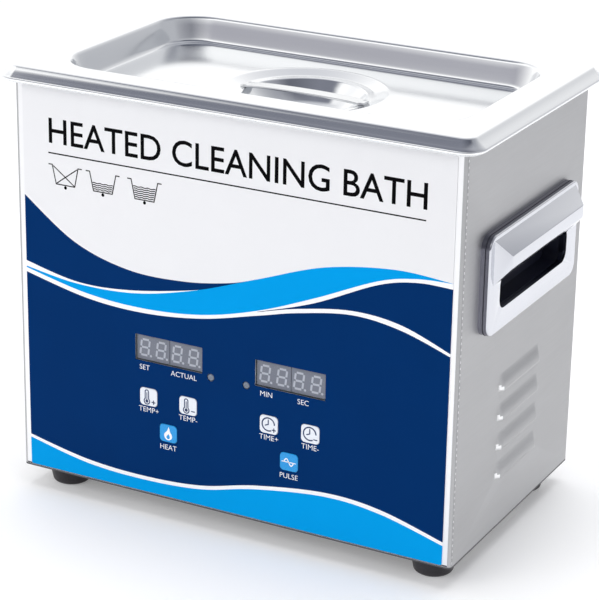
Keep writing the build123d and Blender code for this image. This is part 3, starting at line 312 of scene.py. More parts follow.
# The CAD nodes that show as they are, by material.
CAD_MATERIALS = {
    "base_painted_shade": "base_plate",
    "tank_steel": "tank",
    "seal_rubber": "tank_seal",
    "wire_steel": "basket",
    "pane_clear": "display_window_temp display_window_time",
    "module_grey": "digits_temp digits_time",
    "lamp_resin": "led_heater led_ultrasonic",
    "key_blue": "key_heater key_ultrasonic",
    "key_white": "key_temp_up key_temp_down key_time_up key_time_down",
    "switch_body": "tact_switches",
    "circuit_board": "display_board main_board",
    "brass": "board_standoffs main_standoffs electrodes inlet_pins",
    "screw_zinc": "board_screws main_screws grip_screws base_screws foot_screws foot_nuts "
                  "transducer_bolts",
    "pocket_plastic": "pocket_right pocket_left",
    "turned_aluminium": "horns temperature_sensor",
    "piezo_ceramic": "piezo_rings",
    "back_steel": "back_masses",
    "heater_silicone": "heater_pad_front heater_pad_rear",
    "heatsink_aluminium": "heatsink",
    "transformer_wrap": "transformer",
    "capacitor_sleeve": "capacitors",
    "header_plastic": "headers",
    "ribbon_grey": "display_ribbon",
    "fan_plastic": "fan_frame fan_rotor",
    "inlet_plastic": "inlet_socket fuse_drawer switch_frame switch_rocker",
    "fuse_glass": "fuse",
    "foot_rubber": "foot_front_left foot_front_right foot_rear_left foot_rear_right",
}

# ---------------------------------------------------------------- mesh helpers


@contextmanager
def editing(mesh):
    """A mesh opened for editing, and written back afterwards."""
    work = bmesh.new()
    work.from_mesh(mesh)
    yield work
    work.to_mesh(mesh)
    work.free()


def make_mesh(name, points, faces, material, body, shade_angle=None):
    """A mesh piece from points in millimetres, riding on a body."""
    mesh = bpy.data.meshes.new(name)
    mesh.from_pydata([Vector(p) * MM for p in points], [], faces)
    return finish_mesh(name, mesh, material, body, shade_angle)


def finish_mesh(name, mesh, material, body, shade_angle=None):
    """Merge a mesh's doubled points, give it its materials, and ride it on a body."""
    with editing(mesh) as work:
        bmesh.ops.remove_doubles(work, verts=work.verts, dist=MERGE)
    if shade_angle is not None:
        mesh.shade_smooth()
        mesh.set_sharp_from_angle(angle=math.radians(shade_angle))
    for item in material if isinstance(material, tuple) else (material,):
        mesh.materials.append(M[item])
    piece = bpy.data.objects.new(name, mesh)
    bpy.context.scene.collection.objects.link(piece)
    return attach(piece, body)


def face_front(mesh):
    """Turn a flat mesh's faces towards -Y, and drop its loose points."""
    with editing(mesh) as work:
        for face in work.faces:
            if face.normal.y > 0:
                face.normal_flip()
        loose = [v for v in work.verts if not v.link_faces]
        bmesh.ops.delete(work, geom=loose, context="VERTS")


def append_part(points, faces, part_points, part_faces):
    """Add a part to a mesh's lists of points and faces."""
    first = len(points)
    points.extend(part_points)
    faces.extend(tuple(first + i for i in face) for face in part_faces)


def add_modifier(piece, kind, **settings):
    """Add a modifier with its settings."""
    modifier = piece.modifiers.new(kind.lower(), kind)
    for key, value in settings.items():
        setattr(modifier, key, value)


def thicken(piece, thickness):
    """Give a surface its sheet thickness, and even out its shading."""
    add_modifier(piece, "SOLIDIFY", thickness=thickness * MM, offset=-1.0,
                 use_even_offset=True)
    add_modifier(piece, "WEIGHTED_NORMAL", keep_sharp=True)


def loft(loops, close_last=False):
    """Points and quads between closed loops of the same number of points."""
    points = [p for loop in loops for p in loop]
    count = len(loops[0])
    faces = []
    for k in range(len(loops) - 1):
        for i in range(count):
            j = (i + 1) % count
            faces.append((k * count + i, k * count + j, (k + 1) * count + j,
                          (k + 1) * count + i))
    if close_last:
        faces.append(tuple(range((len(loops) - 1) * count, len(loops) * count)))
    return points, faces


def rounded_loop(width, depth, radius, z, along=(24, 14), corner=10):
    """A rounded rectangle as a loop of points, starting on its right side."""
    bends = rounded_outline(0, 0, width, depth, radius, corner)
    points = []
    for index in range(len(CORNERS)):
        points += bends[:corner + 1]
        bends = bends[corner + 1:] + bends[:corner + 1]
        last, after, count = Vector(points[-1]), Vector(bends[0]), along[index % 2]
        points += [tuple(last.lerp(after, k / count)) for k in range(1, count)]
    return [(x, y, z) for x, y in points]


def circle_loop(like, radius, z):
    """A circle with as many points as another loop, spread as that loop's length is."""
    total, lengths = 0.0, [0.0]
    for i in range(len(like)):
        total += (Vector(like[i]) - Vector(like[(i + 1) % len(like)])).length
        lengths.append(total)
    start = math.atan2(like[0][1], like[0][0]) * 0.5
    return [(radius * math.cos(start + 2 * math.pi * s / total),
             radius * math.sin(start + 2 * math.pi * s / total), z) for s in lengths[:-1]]


def arc_points(center, radius, start, stop, steps):
    """Points of an arc in a plane, angles in degrees."""
    return [(center[0] + radius * math.cos(math.radians(start + (stop - start) * k / steps)),
             center[1] + radius * math.sin(math.radians(start + (stop - start) * k / steps)))
            for k in range(steps + 1)]


def rounded_outline(cx, cy, width, height, radius, steps=6):
    """A rounded rectangle's outline in a plane, counter-clockwise."""
    points = []
    for sx, sy, start in CORNERS:
        center = (cx + sx * (width / 2 - radius), cy + sy * (height / 2 - radius))
        points += arc_points(center, radius, start, start + 90, steps)
    return points


def box_outline(node, axis, grow, radius, steps=6, mirror=1):
    """A node's box, grown and with round corners, over axis x (0) or y (1) and z."""
    low, high = box_mm(node)
    return rounded_outline(mirror * (low[axis] + high[axis]) / 2, (low.z + high.z) / 2,
                           high[axis] - low[axis] + grow, high.z - low.z + grow, radius, steps)


def inside(loop, x, z):
    """Whether a point lies inside a closed outline."""
    result = False
    for i, (xa, za) in enumerate(loop):
        xb, zb = loop[i - 1]
        if (za > z) != (zb > z) and x < (xb - xa) * (z - za) / (zb - za) + xa:
            result = not result
    return result


def middle_of(spots, face):
    """The middle of a flat face's corners."""
    return [sum(spots[i][axis] for i in face) / len(face) for axis in (0, 1)]


def flat_region(outer, holes, lines=()):
    """Triangles of a flat outline with holes, divided along open lines as well."""
    points, edges = [], []
    for index, line in enumerate((outer, *holes, *lines)):
        first, last = len(points), len(points) + len(line) - 1
        points += [Vector(p) for p in line]
        edges += [(i, i + 1) for i in range(first, last)]
        if index <= len(holes):
            edges.append((last, first))
    made = delaunay_2d_cdt(points, edges, [], 0, 1e-4)
    spots = [tuple(p) for p in made[0]]
    kept = []
    for face in made[2]:
        middle = middle_of(spots, face)
        if inside(outer, *middle) and not any(inside(hole, *middle) for hole in holes):
            kept.append(tuple(face))
    return spots, kept


def softened(node, name, body, materials, width, seam):
    """A copy of a CAD node's shape with its sharp edges rounded over.

    Faces on the planes y = seam and y = -seam, inside the shape, are left out.
    """
    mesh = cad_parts[node].data.copy()
    mesh.materials.clear()
    with editing(mesh) as work:
        bmesh.ops.remove_doubles(work, verts=work.verts, dist=MERGE)
        inner = [face for face in work.faces
                 if abs(face.normal.y) > 0.9
                 and all(abs(abs(v.co.y) / MM - seam) < 0.01 for v in face.verts)]
        bmesh.ops.delete(work, geom=inner, context="FACES")
        bmesh.ops.dissolve_limit(work, angle_limit=math.radians(1.0), verts=work.verts,
                                 edges=work.edges)
    piece = finish_mesh(name, mesh, materials, body)
    piece.data.shade_smooth()
    add_modifier(piece, "BEVEL", width=width * MM, segments=3, limit_method="ANGLE",
                 angle_limit=math.radians(32), harden_normals=True, use_clamp_overlap=True)
    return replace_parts(piece, node)


# ---------------------------------------------------------------- lid


def build_lid():
    """The pressed lid: rolled lip, sloped shoulder, pan, and a round dish in its floor."""
    width, depth = LID_HIGH.x * 2, LID_HIGH.y * 2
    low, top = FLANGE_Z, LID_HIGH.z
    slope = math.atan2(LID_SLOPE_H, LID_SLOPE_IN)
    # Each profile lists (distance inwards, height): hem and lip, then the sagging shoulder.
    shoulder = [(LID_HEM, low + 1.0), (LID_HEM, low + 0.1), (0.7, low), (0.25, low + 0.15),
                (0.0, low + 0.5), (0.0, low + LID_LIP_H - 0.6)]
    bend = low + LID_LIP_H
    shoulder += [(0.12, bend - 0.15), (0.45, bend + 0.3)]
    for share in (0.25, 0.5, 0.75):
        sag = 0.35 * math.sin(math.pi * share)
        shoulder.append((LID_SLOPE_IN * share + sag * math.sin(slope),
                         bend + LID_SLOPE_H * share - sag * math.cos(slope)))
    shoulder += [(LID_SLOPE_IN - 0.9, top - 0.62), (LID_SLOPE_IN - 0.1, top - 0.16),
                 (LID_SLOPE_IN + 0.9, top), (LID_SLOPE_IN + 2.0, top)]
    loops = [rounded_loop(width - 2 * i, depth - 2 * i, max(LID_CORNER_R - i, 3.0), z)
             for i, z in shoulder]
    wall = math.tan(PAN_TAPER)
    pan = [(-2.6, top), (-1.6, top), (-0.8, top - 0.14), (-0.1, top - 0.6)]
    pan += [((top - z) * wall, z) for z in (top - 1.6, top - 4.5, top - 7.5, top - 10.4)]
    center = ((top - PAN_FLOOR_Z - 2.4) * wall + PAN_FILLET, PAN_FLOOR_Z + PAN_FILLET)
    pan += arc_points(center, PAN_FILLET, 190, 270, 5)
    pan.append((center[0] + 1.5, PAN_FLOOR_Z))
    loops += [rounded_loop(PAN_W - 2 * i, PAN_D - 2 * i, PAN_R - i, z) for i, z in pan]
    # The dish lists (radius, height).
    ledge, bowl = PAN_FLOOR_Z - LEDGE_DOWN, PAN_FLOOR_Z - BOWL_DOWN
    dish = [(DISH_R + 2.2, PAN_FLOOR_Z), (DISH_R + 1.0, PAN_FLOOR_Z),
            (DISH_R + 0.2, PAN_FLOOR_Z - 0.12), (DISH_R - 0.6, PAN_FLOOR_Z - 0.45),
            (LEDGE_OUT_R + 1.4, ledge + 0.4), (LEDGE_OUT_R + 0.6, ledge + 0.08),
            (LEDGE_OUT_R - 0.4, ledge), (LEDGE_IN_R + 0.9, ledge),
            (LEDGE_IN_R + 0.2, ledge - 0.12), (LEDGE_IN_R - 0.5, ledge - 0.6)]
    for share in (0.25, 0.5, 0.75, 0.9):
        curve = math.sin(math.pi * share) * 0.9
        dish.append((LEDGE_IN_R + (BOWL_R - LEDGE_IN_R) * share,
                     ledge + (bowl - ledge) * share - curve))
    dish += [(BOWL_R - 1.5, bowl + 0.25), (BOWL_R - 3.5, bowl), (BOWL_R * 0.5, bowl),
             (1.0, bowl)]
    like = loops[-1]
    loops += [circle_loop(like, radius, z) for radius, z in dish]
    points, faces = loft(loops, close_last=True)
    lid = make_mesh("lid_pressing", points, faces, "lid_steel", "lid", 60)
    thicken(lid, LID_SHEET)
    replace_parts(lid, "lid")


def build_strap():
    """The strap handle across the dish: a shallow arch with welded feet."""
    low, high = box_mm("lid_handle")
    half, half_width = high.x, (high.y - low.y) * STRAP_SHARE / 2
    stations = []
    for k in range(STRAP_STEPS + 1):
        x = -half + 2 * half * k / STRAP_STEPS
        bow = max(0.0, 1 - (x / (half - STRAP_FOOT)) ** 2)
        stations.append((x, low.z + STRAP_RISE * bow ** 0.6))
    section = [(s * half_width, t) for s, t in
               ((-1, 0.35), (-1, 0.85), (-0.96, 1.12), (-0.9, STRAP_T), (-0.5, STRAP_T),
                (0, STRAP_T), (0.5, STRAP_T), (0.9, STRAP_T), (0.96, 1.12), (1, 0.85),
                (1, 0.35), (0.96, 0.08), (0.9, 0), (0, 0), (-0.9, 0), (-0.96, 0.08))]
    loops = []
    for index, (x, z) in enumerate(stations):
        ahead = stations[min(index + 1, STRAP_STEPS)]
        behind = stations[max(index - 1, 0)]
        tangent = Vector((ahead[0] - behind[0], 0, ahead[1] - behind[1])).normalized()
        up = Vector((-tangent.z, 0, tangent.x))
        end = min(1.0, (half - abs(x)) / STRAP_END)
        narrow = 0.72 + 0.28 * math.sqrt(max(0.0, 1 - (1 - end) ** 2))
        loops.append([tuple(Vector((x, y * narrow, z)) + up * t) for y, t in section])
    points, faces = loft(loops, close_last=True)
    faces.append(tuple(reversed(range(len(section)))))
    points = [(x, y, z + SEAT_GAP) for x, y, z in points]
    strap = make_mesh("lid_strap", points, faces, "strap_steel", "lid", 40)
    add_modifier(strap, "WEIGHTED_NORMAL", keep_sharp=True)
    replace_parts(strap, "lid_handle")
    welds, weld_faces = [], []
    for x, y in ((sign * (half - WELD_IN), y) for sign in (-1, 1) for y in (-WELD_Y, WELD_Y)):
        rings = [[(*spot, low.z + STRAP_T + rise) for spot in arc_points((x, y), r, 0, 337.5, 15)]
                 for r, rise in ((1.3, 0), (1.2, 0.12), (0.8, 0.22), (0.15, 0.25))]
        append_part(welds, weld_faces, *loft(rings, close_last=True))
    make_mesh("strap_welds", welds, weld_faces, "strap_steel", "lid", 60)


# ---------------------------------------------------------------- housing


def louvre_grid(center_z):
    """One louvre as a grid of (along, up, out): flush on three sides, open below."""
    columns, rows = 36, 9
    grid = []
    for r in range(rows + 1):
        v = r / rows
        line = []
        for c in range(columns + 1):
            u = -LOUVRE_W / 2 + LOUVRE_W * c / columns
            end = min(1.0, (LOUVRE_W / 2 - abs(u)) / LOUVRE_END)
            rise = math.sin(math.pi / 2 * min(1.0, v * 1.08)) ** 1.5
            line.append((u, center_z + LOUVRE_H / 2 - LOUVRE_H * v, LOUVRE_OUT * end * rise))
        grid.append(line)
    return grid


def build_housing():
    """Folded sheet: four walls with round bends, their openings, and pressed louvres."""
    points, faces, slots = [], [], []

    def add(part_points, part_faces, slot=0):
        append_part(points, faces, part_points, part_faces)
        slots.extend([slot] * len(part_faces))

    z0, z1 = HOUSING_Z0, HOUSING_Z1
    run_x, run_y = HALF_W - BEND_R, HALF_D - BEND_R
    levels = [z0 + (z1 - z0) * k / 12 for k in range(13)]

    def wall_outline(run):
        return ([(-run, z0), (run, z0)] + [(run, z) for z in levels[1:-1]] +
                [(run, z1), (-run, z1)] + [(-run, z) for z in reversed(levels[1:-1])])

    def wall(run, holes, place, slot=0):
        flat, triangles = flat_region(wall_outline(run), holes)
        add([place(u, z) for u, z in flat], triangles, slot)

    # The front wall takes the brighter copy of the steel: painted light.
    wall(run_x, panel_openings(), lambda u, z: (u, -HALF_D, z), 1)
    rear_holes = [box_outline(node, 0, -2 * trim, 1.0, mirror=-1)
                  for node, trim in (("inlet_socket", 3.0), ("switch_frame", 1.0))]
    wall(run_x, rear_holes, lambda u, z: (-u, HALF_D, z))
    for sign, pocket in ((1, "pocket_right"), (-1, "pocket_left")):
        holes = [box_outline(pocket, 1, -2 * POCKET_MARGIN, POCKET_R)]
        for index in range(LOUVRES):
            grid = louvre_grid(LOUVRE_TOP_Z - LOUVRE_PITCH * index)
            edge = ([p[:2] for p in grid[-1]] + [row[-1][:2] for row in reversed(grid[1:-1])] +
                    [p[:2] for p in reversed(grid[0])] + [row[0][:2] for row in grid[1:-1]])
            holes.append(edge)
            columns = len(grid[0])
            patch = [(sign * (HALF_W + out), sign * u, z) for row in grid for u, z, out in row]
            quads = [(r * columns + c, (r + 1) * columns + c, (r + 1) * columns + c + 1,
                      r * columns + c + 1)
                     for r in range(len(grid) - 1) for c in range(columns - 1)]
            # A painted highlight low at one end, in the brighter steel: the front one on the
            # right, the rear on the left.
            painted_highlight = [quad for quad in quads if quad[0] % columns < 2
                      and quad[0] // columns - quad[0] % columns > LOUVRE_HIGHLIGHT_ROW]
            add(patch, [quad for quad in quads if quad not in painted_highlight])
            add(patch, painted_highlight, 1)
        wall(run_y, holes, lambda u, z, s=sign: (s * HALF_W, s * u, z))
    for sx, sy, start in CORNERS:
        bend = arc_points((sx * run_x, sy * run_y), BEND_R, start, start + 90, 6)
        strips = [(x, y, z) for z in levels for x, y in bend]
        count = len(bend)
        quads = [(k * count + i, k * count + i + 1, (k + 1) * count + i + 1, (k + 1) * count + i)
                 for k in range(len(levels) - 1) for i in range(count - 1)]
        add(strips, quads)
    mesh = bpy.data.meshes.new("housing_wrap")
    mesh.from_pydata([Vector(p) * MM for p in points], [], faces)
    mesh.polygons.foreach_set("material_index", slots)
    shell = finish_mesh("housing_wrap", mesh, ("side_steel", "front_steel"), "cleaner", 50)
    thicken(shell, SHEET)
    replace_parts(shell, "housing_shell")


def build_fold_lines():
    """Painted shade along each front corner's fold, dotted with painted highlights, and a painted
    shade line along the front's lower edge.
    """
    edges, dashes, lower = Artwork(), Artwork(), Artwork()
    near, far = -HALF_D + BEND_R - 0.9, -HALF_D + BEND_R + 0.1
    edges.rectangle(near, HOUSING_Z0, far, HOUSING_Z1)
    z = HOUSING_Z0 + 1.5
    while z < HOUSING_Z1 - 2:
        dashes.rectangle(near + DASH_IN, z, near + DASH_OUT, z + DASH_H)
        z += DASH_PITCH
    # Dark strips of painted shade on the folds, and dashes of painted highlight in the brighter
    # steel.
    for art, name, material, out in ((edges, "fold_lines", "fold_grey", 0.02),
                                     (dashes, "fold_painted_highlights", "front_steel", 0.04)):
        points, faces = [], []
        for sign in (-1, 1):
            append_part(points, faces,
                        [(sign * (HALF_W - fold_drop(y) + out), y, z) for y, z in art.points],
                        [face[::sign] for face in art.faces])
        make_mesh(name, points, faces, material, "cleaner")
    # A painted shade line along the front's lower edge.
    run = HALF_W - BEND_R
    lower.rectangle(-run, HOUSING_Z0 + 0.1, run, HOUSING_Z0 + 1.0)
    lower.build("front_lower_edge", "fold_grey", "cleaner", -HALF_D - 0.02, "housing_steel")


def fold_drop(y):
    """How far the round corner lies inside the side wall's plane at depth y."""
    into = max(0.0, -HALF_D + BEND_R - y)
    return BEND_R - math.sqrt(max(0.0, BEND_R ** 2 - into ** 2))


def panel_openings(shrink=0.0):
    """Outlines of the openings for the windows, the lamps and the keys in the front."""
    low, high = box_mm(LAMPS[0])
    lamp_rim = (high.x - low.x) / 2 - LED_R
    return [box_outline(node, 0, 2 * (CUT_GAP - rim) - shrink, radius)
            for nodes, rim, radius in ((WINDOWS, WINDOW_RIM, 0.4),
                                       (LAMPS, lamp_rim, LED_R + CUT_GAP - 0.01),
                                       (KEYS, KEY_RIM, KEY_CORNER_R))
            for node in nodes]


def build_grips():
    """Chromed grip frames with softened edges and painted shade on their side faces by the wall,
    and a painted shade line in the gap round each.
    """
    for side, sign in (("right", 1), ("left", -1)):
        grip = softened(f"grip_{side}", f"grip_frame_{side}", "cleaner",
                        ("grip_chrome", "grip_painted_shade"), GRIP_ROUND, GRIP_SEAM)
        # Side faces near the wall take the dark copy of the chrome: painted shade.
        for face in grip.data.polygons:
            if abs(face.normal.x) < 0.3 and abs(face.center.x) / MM < HALF_W + GRIP_SHADE_BAND:
                face.material_index = 1
        # A thin dark sheet round the grip: painted shade in the gap.
        outline = box_outline(f"grip_{side}", 1, 2 * JOINT_GAP, JOINT_R, 8)
        x = sign * (HALF_W + JOINT_IN)
        points, faces = loft([[(x + sign * out, y, z) for y, z in outline]
                              for out in (0.0, JOINT_H)])
        seam = make_mesh(f"grip_gap_shade_{side}", points, faces, "seam_dark", "cleaner", 40)


# ---------------------------------------------------------------- front panel artwork


class Artwork:
    """Flat printed shapes in the panel's plane, in millimetres."""

    def __init__(self):
        self.points, self.faces = [], []

    def polygon(self, outline):
        """A filled outline."""
        append_part(self.points, self.faces, outline, [range(len(outline))])

    def rectangle(self, left, low, right, high):
        """A filled rectangle."""
        self.polygon([(left, low), (right, low), (right, high), (left, high)])

    def stroke(self, line, width, closed=False):
        """A line of even width with mitred corners."""
        count = len(line)
        left, right = [], []
        for i, point in enumerate(line):
            before = line[i - 1] if i or closed else point
            after = line[(i + 1) % count] if i < count - 1 or closed else point
            first = (Vector(point) - Vector(before)).normalized()
            second = (Vector(after) - Vector(point)).normalized()
            along = (first + second).normalized() if (first + second).length > 1e-6 else first
            normal = Vector((-along.y, along.x))
            cosine = max(0.4, abs(normal.dot(Vector((-second.y, second.x))))
                         if second.length else abs(normal.dot(Vector((-first.y, first.x)))))
            left.append(tuple(Vector(point) + normal * width / 2 / cosine))
            right.append(tuple(Vector(point) - normal * width / 2 / cosine))
        steps = [(i, (i + 1) % count) for i in range(count if closed else count - 1)]
        append_part(self.points, self.faces, left + right,
                    [(i, j, count + j, count + i) for i, j in steps])

    def pierced(self, outline, hole):
        """A filled outline with a hole in it."""
        append_part(self.points, self.faces, *flat_region(outline, [hole]))

    def disc(self, x, z, radius, steps=20):
        """A filled circle."""
        self.polygon(arc_points((x, z), radius, 0, 360 - 360 / steps, steps - 1))

    def text(self, words, center_x, base_z, height, width=None, weight=0.0):
        """Words in plain capitals, centred, with a given cap height and width."""
        curve = bpy.data.curves.new("words", "FONT")
        curve.body = words
        curve.offset = weight
        curve.resolution_u = 4
        holder = bpy.data.objects.new("words", curve)
        mesh = bpy.data.meshes.new_from_object(holder)
        xs = [v.co.x for v in mesh.vertices]
        ys = [v.co.y for v in mesh.vertices]
        scale_z = height / (max(ys) - min(ys))
        scale_x = width / (max(xs) - min(xs)) if width else scale_z
        middle, bottom = (max(xs) + min(xs)) / 2, min(ys)
        append_part(self.points, self.faces,
                    [(center_x + (v.co.x - middle) * scale_x,
                      base_z + (v.co.y - bottom) * scale_z) for v in mesh.vertices],
                    [p.vertices for p in mesh.polygons])
        bpy.data.meshes.remove(mesh)
        bpy.data.objects.remove(holder)
        bpy.data.curves.remove(curve)

    def build(self, name, material, body, y, slot):
        """The shapes as a piece lying at depth y, facing the front."""
        points = [(x, y, z) for x, z in self.points]
        piece = make_mesh(name, points, self.faces, material, body)
        face_front(piece.data)


def smooth_curve(points, steps=8):
    """A smooth line through a few points, as a cardinal spline."""
    line = []
    for i in range(len(points) - 1):
        p0 = Vector(points[max(i - 1, 0)])
        p1, p2 = Vector(points[i]), Vector(points[i + 1])
        p3 = Vector(points[min(i + 2, len(points) - 1)])
        for k in range(steps):
            t = k / steps
            line.append(tuple(0.5 * (2 * p1 + (p2 - p0) * t +
                                     (2 * p0 - 5 * p1 + 4 * p2 - p3) * t * t +
                                     (3 * p1 - p0 - 3 * p2 + p3) * t ** 3)))
    return line + [tuple(points[-1])]


def height_at(line, x):
    """The height of a left-to-right line at x."""
    for (xa, za), (xb, zb) in zip(line, line[1:]):
        if xa <= x <= xb:
            return za + (zb - za) * (x - xa) / max(xb - xa, 1e-9)
    return line[0][1] if x < line[0][0] else line[-1][1]


EDGE = 128.5
CROSSING_X = 17
# Each edge between two colours of the panel, from left to right.
WAVES = {
    "swell_top": [(-EDGE, 175), (-96, 152.5), (-62, 142.6), (-28, 142.3), (0, 146.6),
                  (17, 151.9)],
    "swell_low": [(-EDGE, 136.5), (-95, 129.8), (-62, 131), (-23, 138.2), (0, 145.2),
                  (17, 151.9)],
    "ribbon_top": [(-EDGE, 133.2), (-95, 128.7), (-58, 130), (-20, 138.8), (17, 151.9),
                   (56, 165.6), (96, 171.6), (EDGE, 170)],
    "ribbon_low": [(-EDGE, 132.4), (-89, 124.3), (-53, 122.3), (-17, 125.5), (17, 134.4),
                   (50, 147.5), (86, 163.6), (108, 168.9), (EDGE, 170)],
    "lens_top": [(17, 133.9), (50, 144.9), (86, 161.6), (108, 166.9), (EDGE, 167)],
    "line_top": [(0, 129.1), (17, 133.7), (41, 140.1), (72, 145.0), (100, 142.6),
                 (EDGE, 132.2)],
    "line_low": [(-EDGE, 130), (-89, 121.6), (-53, 119.7), (-17, 123.4), (17, 131.7),
                 (41, 137.8), (72, 142.7), (100, 139.7), (EDGE, 130.6)],
    "foot_top": [(-EDGE, 32.8), (-90, 25.5), (-53, 23.7), (-17, 26.2), (17, 34.2),
                 (59, 39.8), (92, 37.5), (EDGE, 27.6)],
    "foot_low": [(-EDGE, 31), (-90, 23.2), (-53, 21.5), (-17, 24), (17, 32), (59, 37.5),
                 (92, 35), (EDGE, 25.6)],
}
FILMS = ("film_grey", "film_navy", "film_white", "film_blue")
OVERLAY_SHRINK = 0.2


def film_color(lines, x, z):
    """Which colour the panel has at a point."""
    at = {name: height_at(line, x) for name, line in lines.items()}
    if z < at["foot_low"]:
        return "film_blue"
    if z < at["foot_top"]:
        return "film_white"
    if z < at["line_low"]:
        return "film_navy"
    stripe = at["line_top"] if x > 0 else at["ribbon_low"]
    if z < stripe:
        return "film_white"
    if x > CROSSING_X and z < at["lens_top"]:
        return "film_navy"
    if z < at["ribbon_low"]:
        return "film_white"
    if z < at["ribbon_top"]:
        return "film_blue"
    if x < CROSSING_X and z < at["swell_low"]:
        return "film_white"
    if x < CROSSING_X and z < at["swell_top"]:
        return "film_navy"
    return "film_grey"


def build_overlay():
    """The printed front film, one sheet divided along its colour edges, with its openings."""
    lines = {name: smooth_curve(points) for name, points in WAVES.items()}
    low, high = box_mm("front_overlay")
    outline = box_outline("front_overlay", 0, 0.0, 1.0)
    spots, faces = flat_region(outline, panel_openings(OVERLAY_SHRINK), lines.values())
    slots = [FILMS.index(film_color(lines, *middle_of(spots, face))) for face in faces]
    mesh = bpy.data.meshes.new("panel_film")
    mesh.from_pydata([Vector((x, low.y, z)) * MM for x, z in spots], [], faces)
    mesh.polygons.foreach_set("material_index", slots)
    face_front(mesh)
    film = finish_mesh("panel_film", mesh, FILMS, "cleaner")
    add_modifier(film, "SOLIDIFY", thickness=(high.y - low.y) * MM, offset=-1.0)
    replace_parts(film, "front_overlay")


def build_title():
    """The heading, its underline and three small tank pictograms."""
    ink = Artwork()
    ink.text(TITLE, 0.5, TITLE_Z, TITLE_H, TITLE_W, 0.007)
    ink.stroke([(-UNDERLINE_HALF, UNDERLINE_Z), (UNDERLINE_HALF, UNDERLINE_Z)], 0.75)
    top, low = PICTOGRAM_TOP, PICTOGRAM_LOW
    for index, center in enumerate(PICTOGRAMS):
        ink.stroke([(center - 10.6, top), (center - 8.2, top), (center - 5.9, low),
                    (center + 5.9, low), (center + 8.2, top), (center + 10.6, top)], 0.62)
        ink.disc(center, low - 1.4, 0.95, 12)
        ink.stroke([(center, low), (center, low - 1.2)], 0.5)
        if index == 0:
            ink.stroke([(center - 7.6, top - 0.6), (center + 5.6, low + 0.4)], 0.6)
            ink.stroke([(center + 7.6, top - 0.6), (center - 5.6, low + 0.4)], 0.6)
            continue
        for level in range(4 + 2 * (index - 1)):
            z = low + 1.1 + 1.15 * level
            half = 5.5 + 2.2 * (z - low) / (top - low)
            ink.stroke([(center - half + half * k / 8, z + 0.22 * math.sin(k * 1.35))
                        for k in range(17)], 0.55)
    ink.build("panel_heading", "film_black", "cleaner", PRINT_Y, "overlay_film")


def build_legends():
    """White legends under the displays and the keys."""
    ink = Artwork()
    for z, row in ((87.1, {"SET": -52.0, "ACTUAL": -27.5, "MIN": 23.0, "SEC": 45.0}),
                   (62.5, {"TEMP+": -49.6, "TEMP-": -24.8, "TIME+": 24.8, "TIME-": 49.6}),
                   (42.9, {"HEAT": -37.2, "PULSE": 37.2})):
        for words, x in row.items():
            ink.text(words, x, z, LEGEND_H, weight=-0.006)
    ink.build("panel_legends", "film_white", "cleaner", PRINT_Y, "overlay_film")


def build_key_icons():
    """A sign on every key: thermometers, clocks, a flame and a wave."""
    for node in KEYS:
        low, high = box_mm(node)
        x, z, y = (low.x + high.x) / 2, (low.z + high.z) / 2, low.y - PROUD
        ink = Artwork()
        if "temp" in node:
            bulb = arc_points((x - 1.0, z - 2.5), 1.75, 128, 412, 14)
            cap = arc_points((x - 1.0, z + 3.0), 1.05, 0, 180, 8)
            ink.stroke(bulb + cap, 0.65, closed=True)
            ink.disc(x - 1.0, z - 2.5, 0.95)
            ink.stroke([(x - 1.0, z - 2.2), (x - 1.0, z + 2.6)], 0.5)
        elif "time" in node:
            ink.stroke(arc_points((x - 0.2, z + 0.2), 3.7, 0, 300, 26), 0.75)
            ink.stroke([(x - 0.2, z + 3.0), (x - 0.2, z + 0.2), (x - 2.2, z - 0.6)], 0.65)
        if "temp" in node or "time" in node:
            ink.stroke([(x + 2.0, z - 2.6), (x + 4.4, z - 2.6)], 0.6)
            if node.endswith("up"):
                ink.stroke([(x + 3.2, z - 3.8), (x + 3.2, z - 1.4)], 0.6)
            ink.build(f"{node}_icon", "icon_navy", node, y, "key_white")
        elif node == "key_heater":
            flame, drop = (smooth_curve([(x + u, z + v) for u, v in line], 4) for line in (
                ((0.3, 4.0), (-0.7, 1.6), (-2.5, -0.6), (-1.9, -3.0), (0, -3.9), (2.1, -2.8),
                 (2.3, -0.6), (1.2, 1.0), (0.9, 2.4), (0.3, 4.0)),
                ((0.2, -0.2), (-1.1, -1.9), (-0.6, -3.0), (0.2, -3.2), (0.9, -2.7),
                 (1.0, -1.7), (0.2, -0.2))))
            ink.pierced(flame[:-1], drop[:-1])
            ink.build(f"{node}_icon", "icon_white", node, y, "key_blue")
        else:
            ink.stroke([(x - 2.9 + 0.24 * k, z + 1.9 * math.sin(math.pi * k / 12))
                        for k in range(25)], 0.6)
            ink.stroke([(x - 4.3, z), (x + 4.3, z)], 0.5)
            ink.build(f"{node}_icon", "icon_white", node, y, "key_blue")


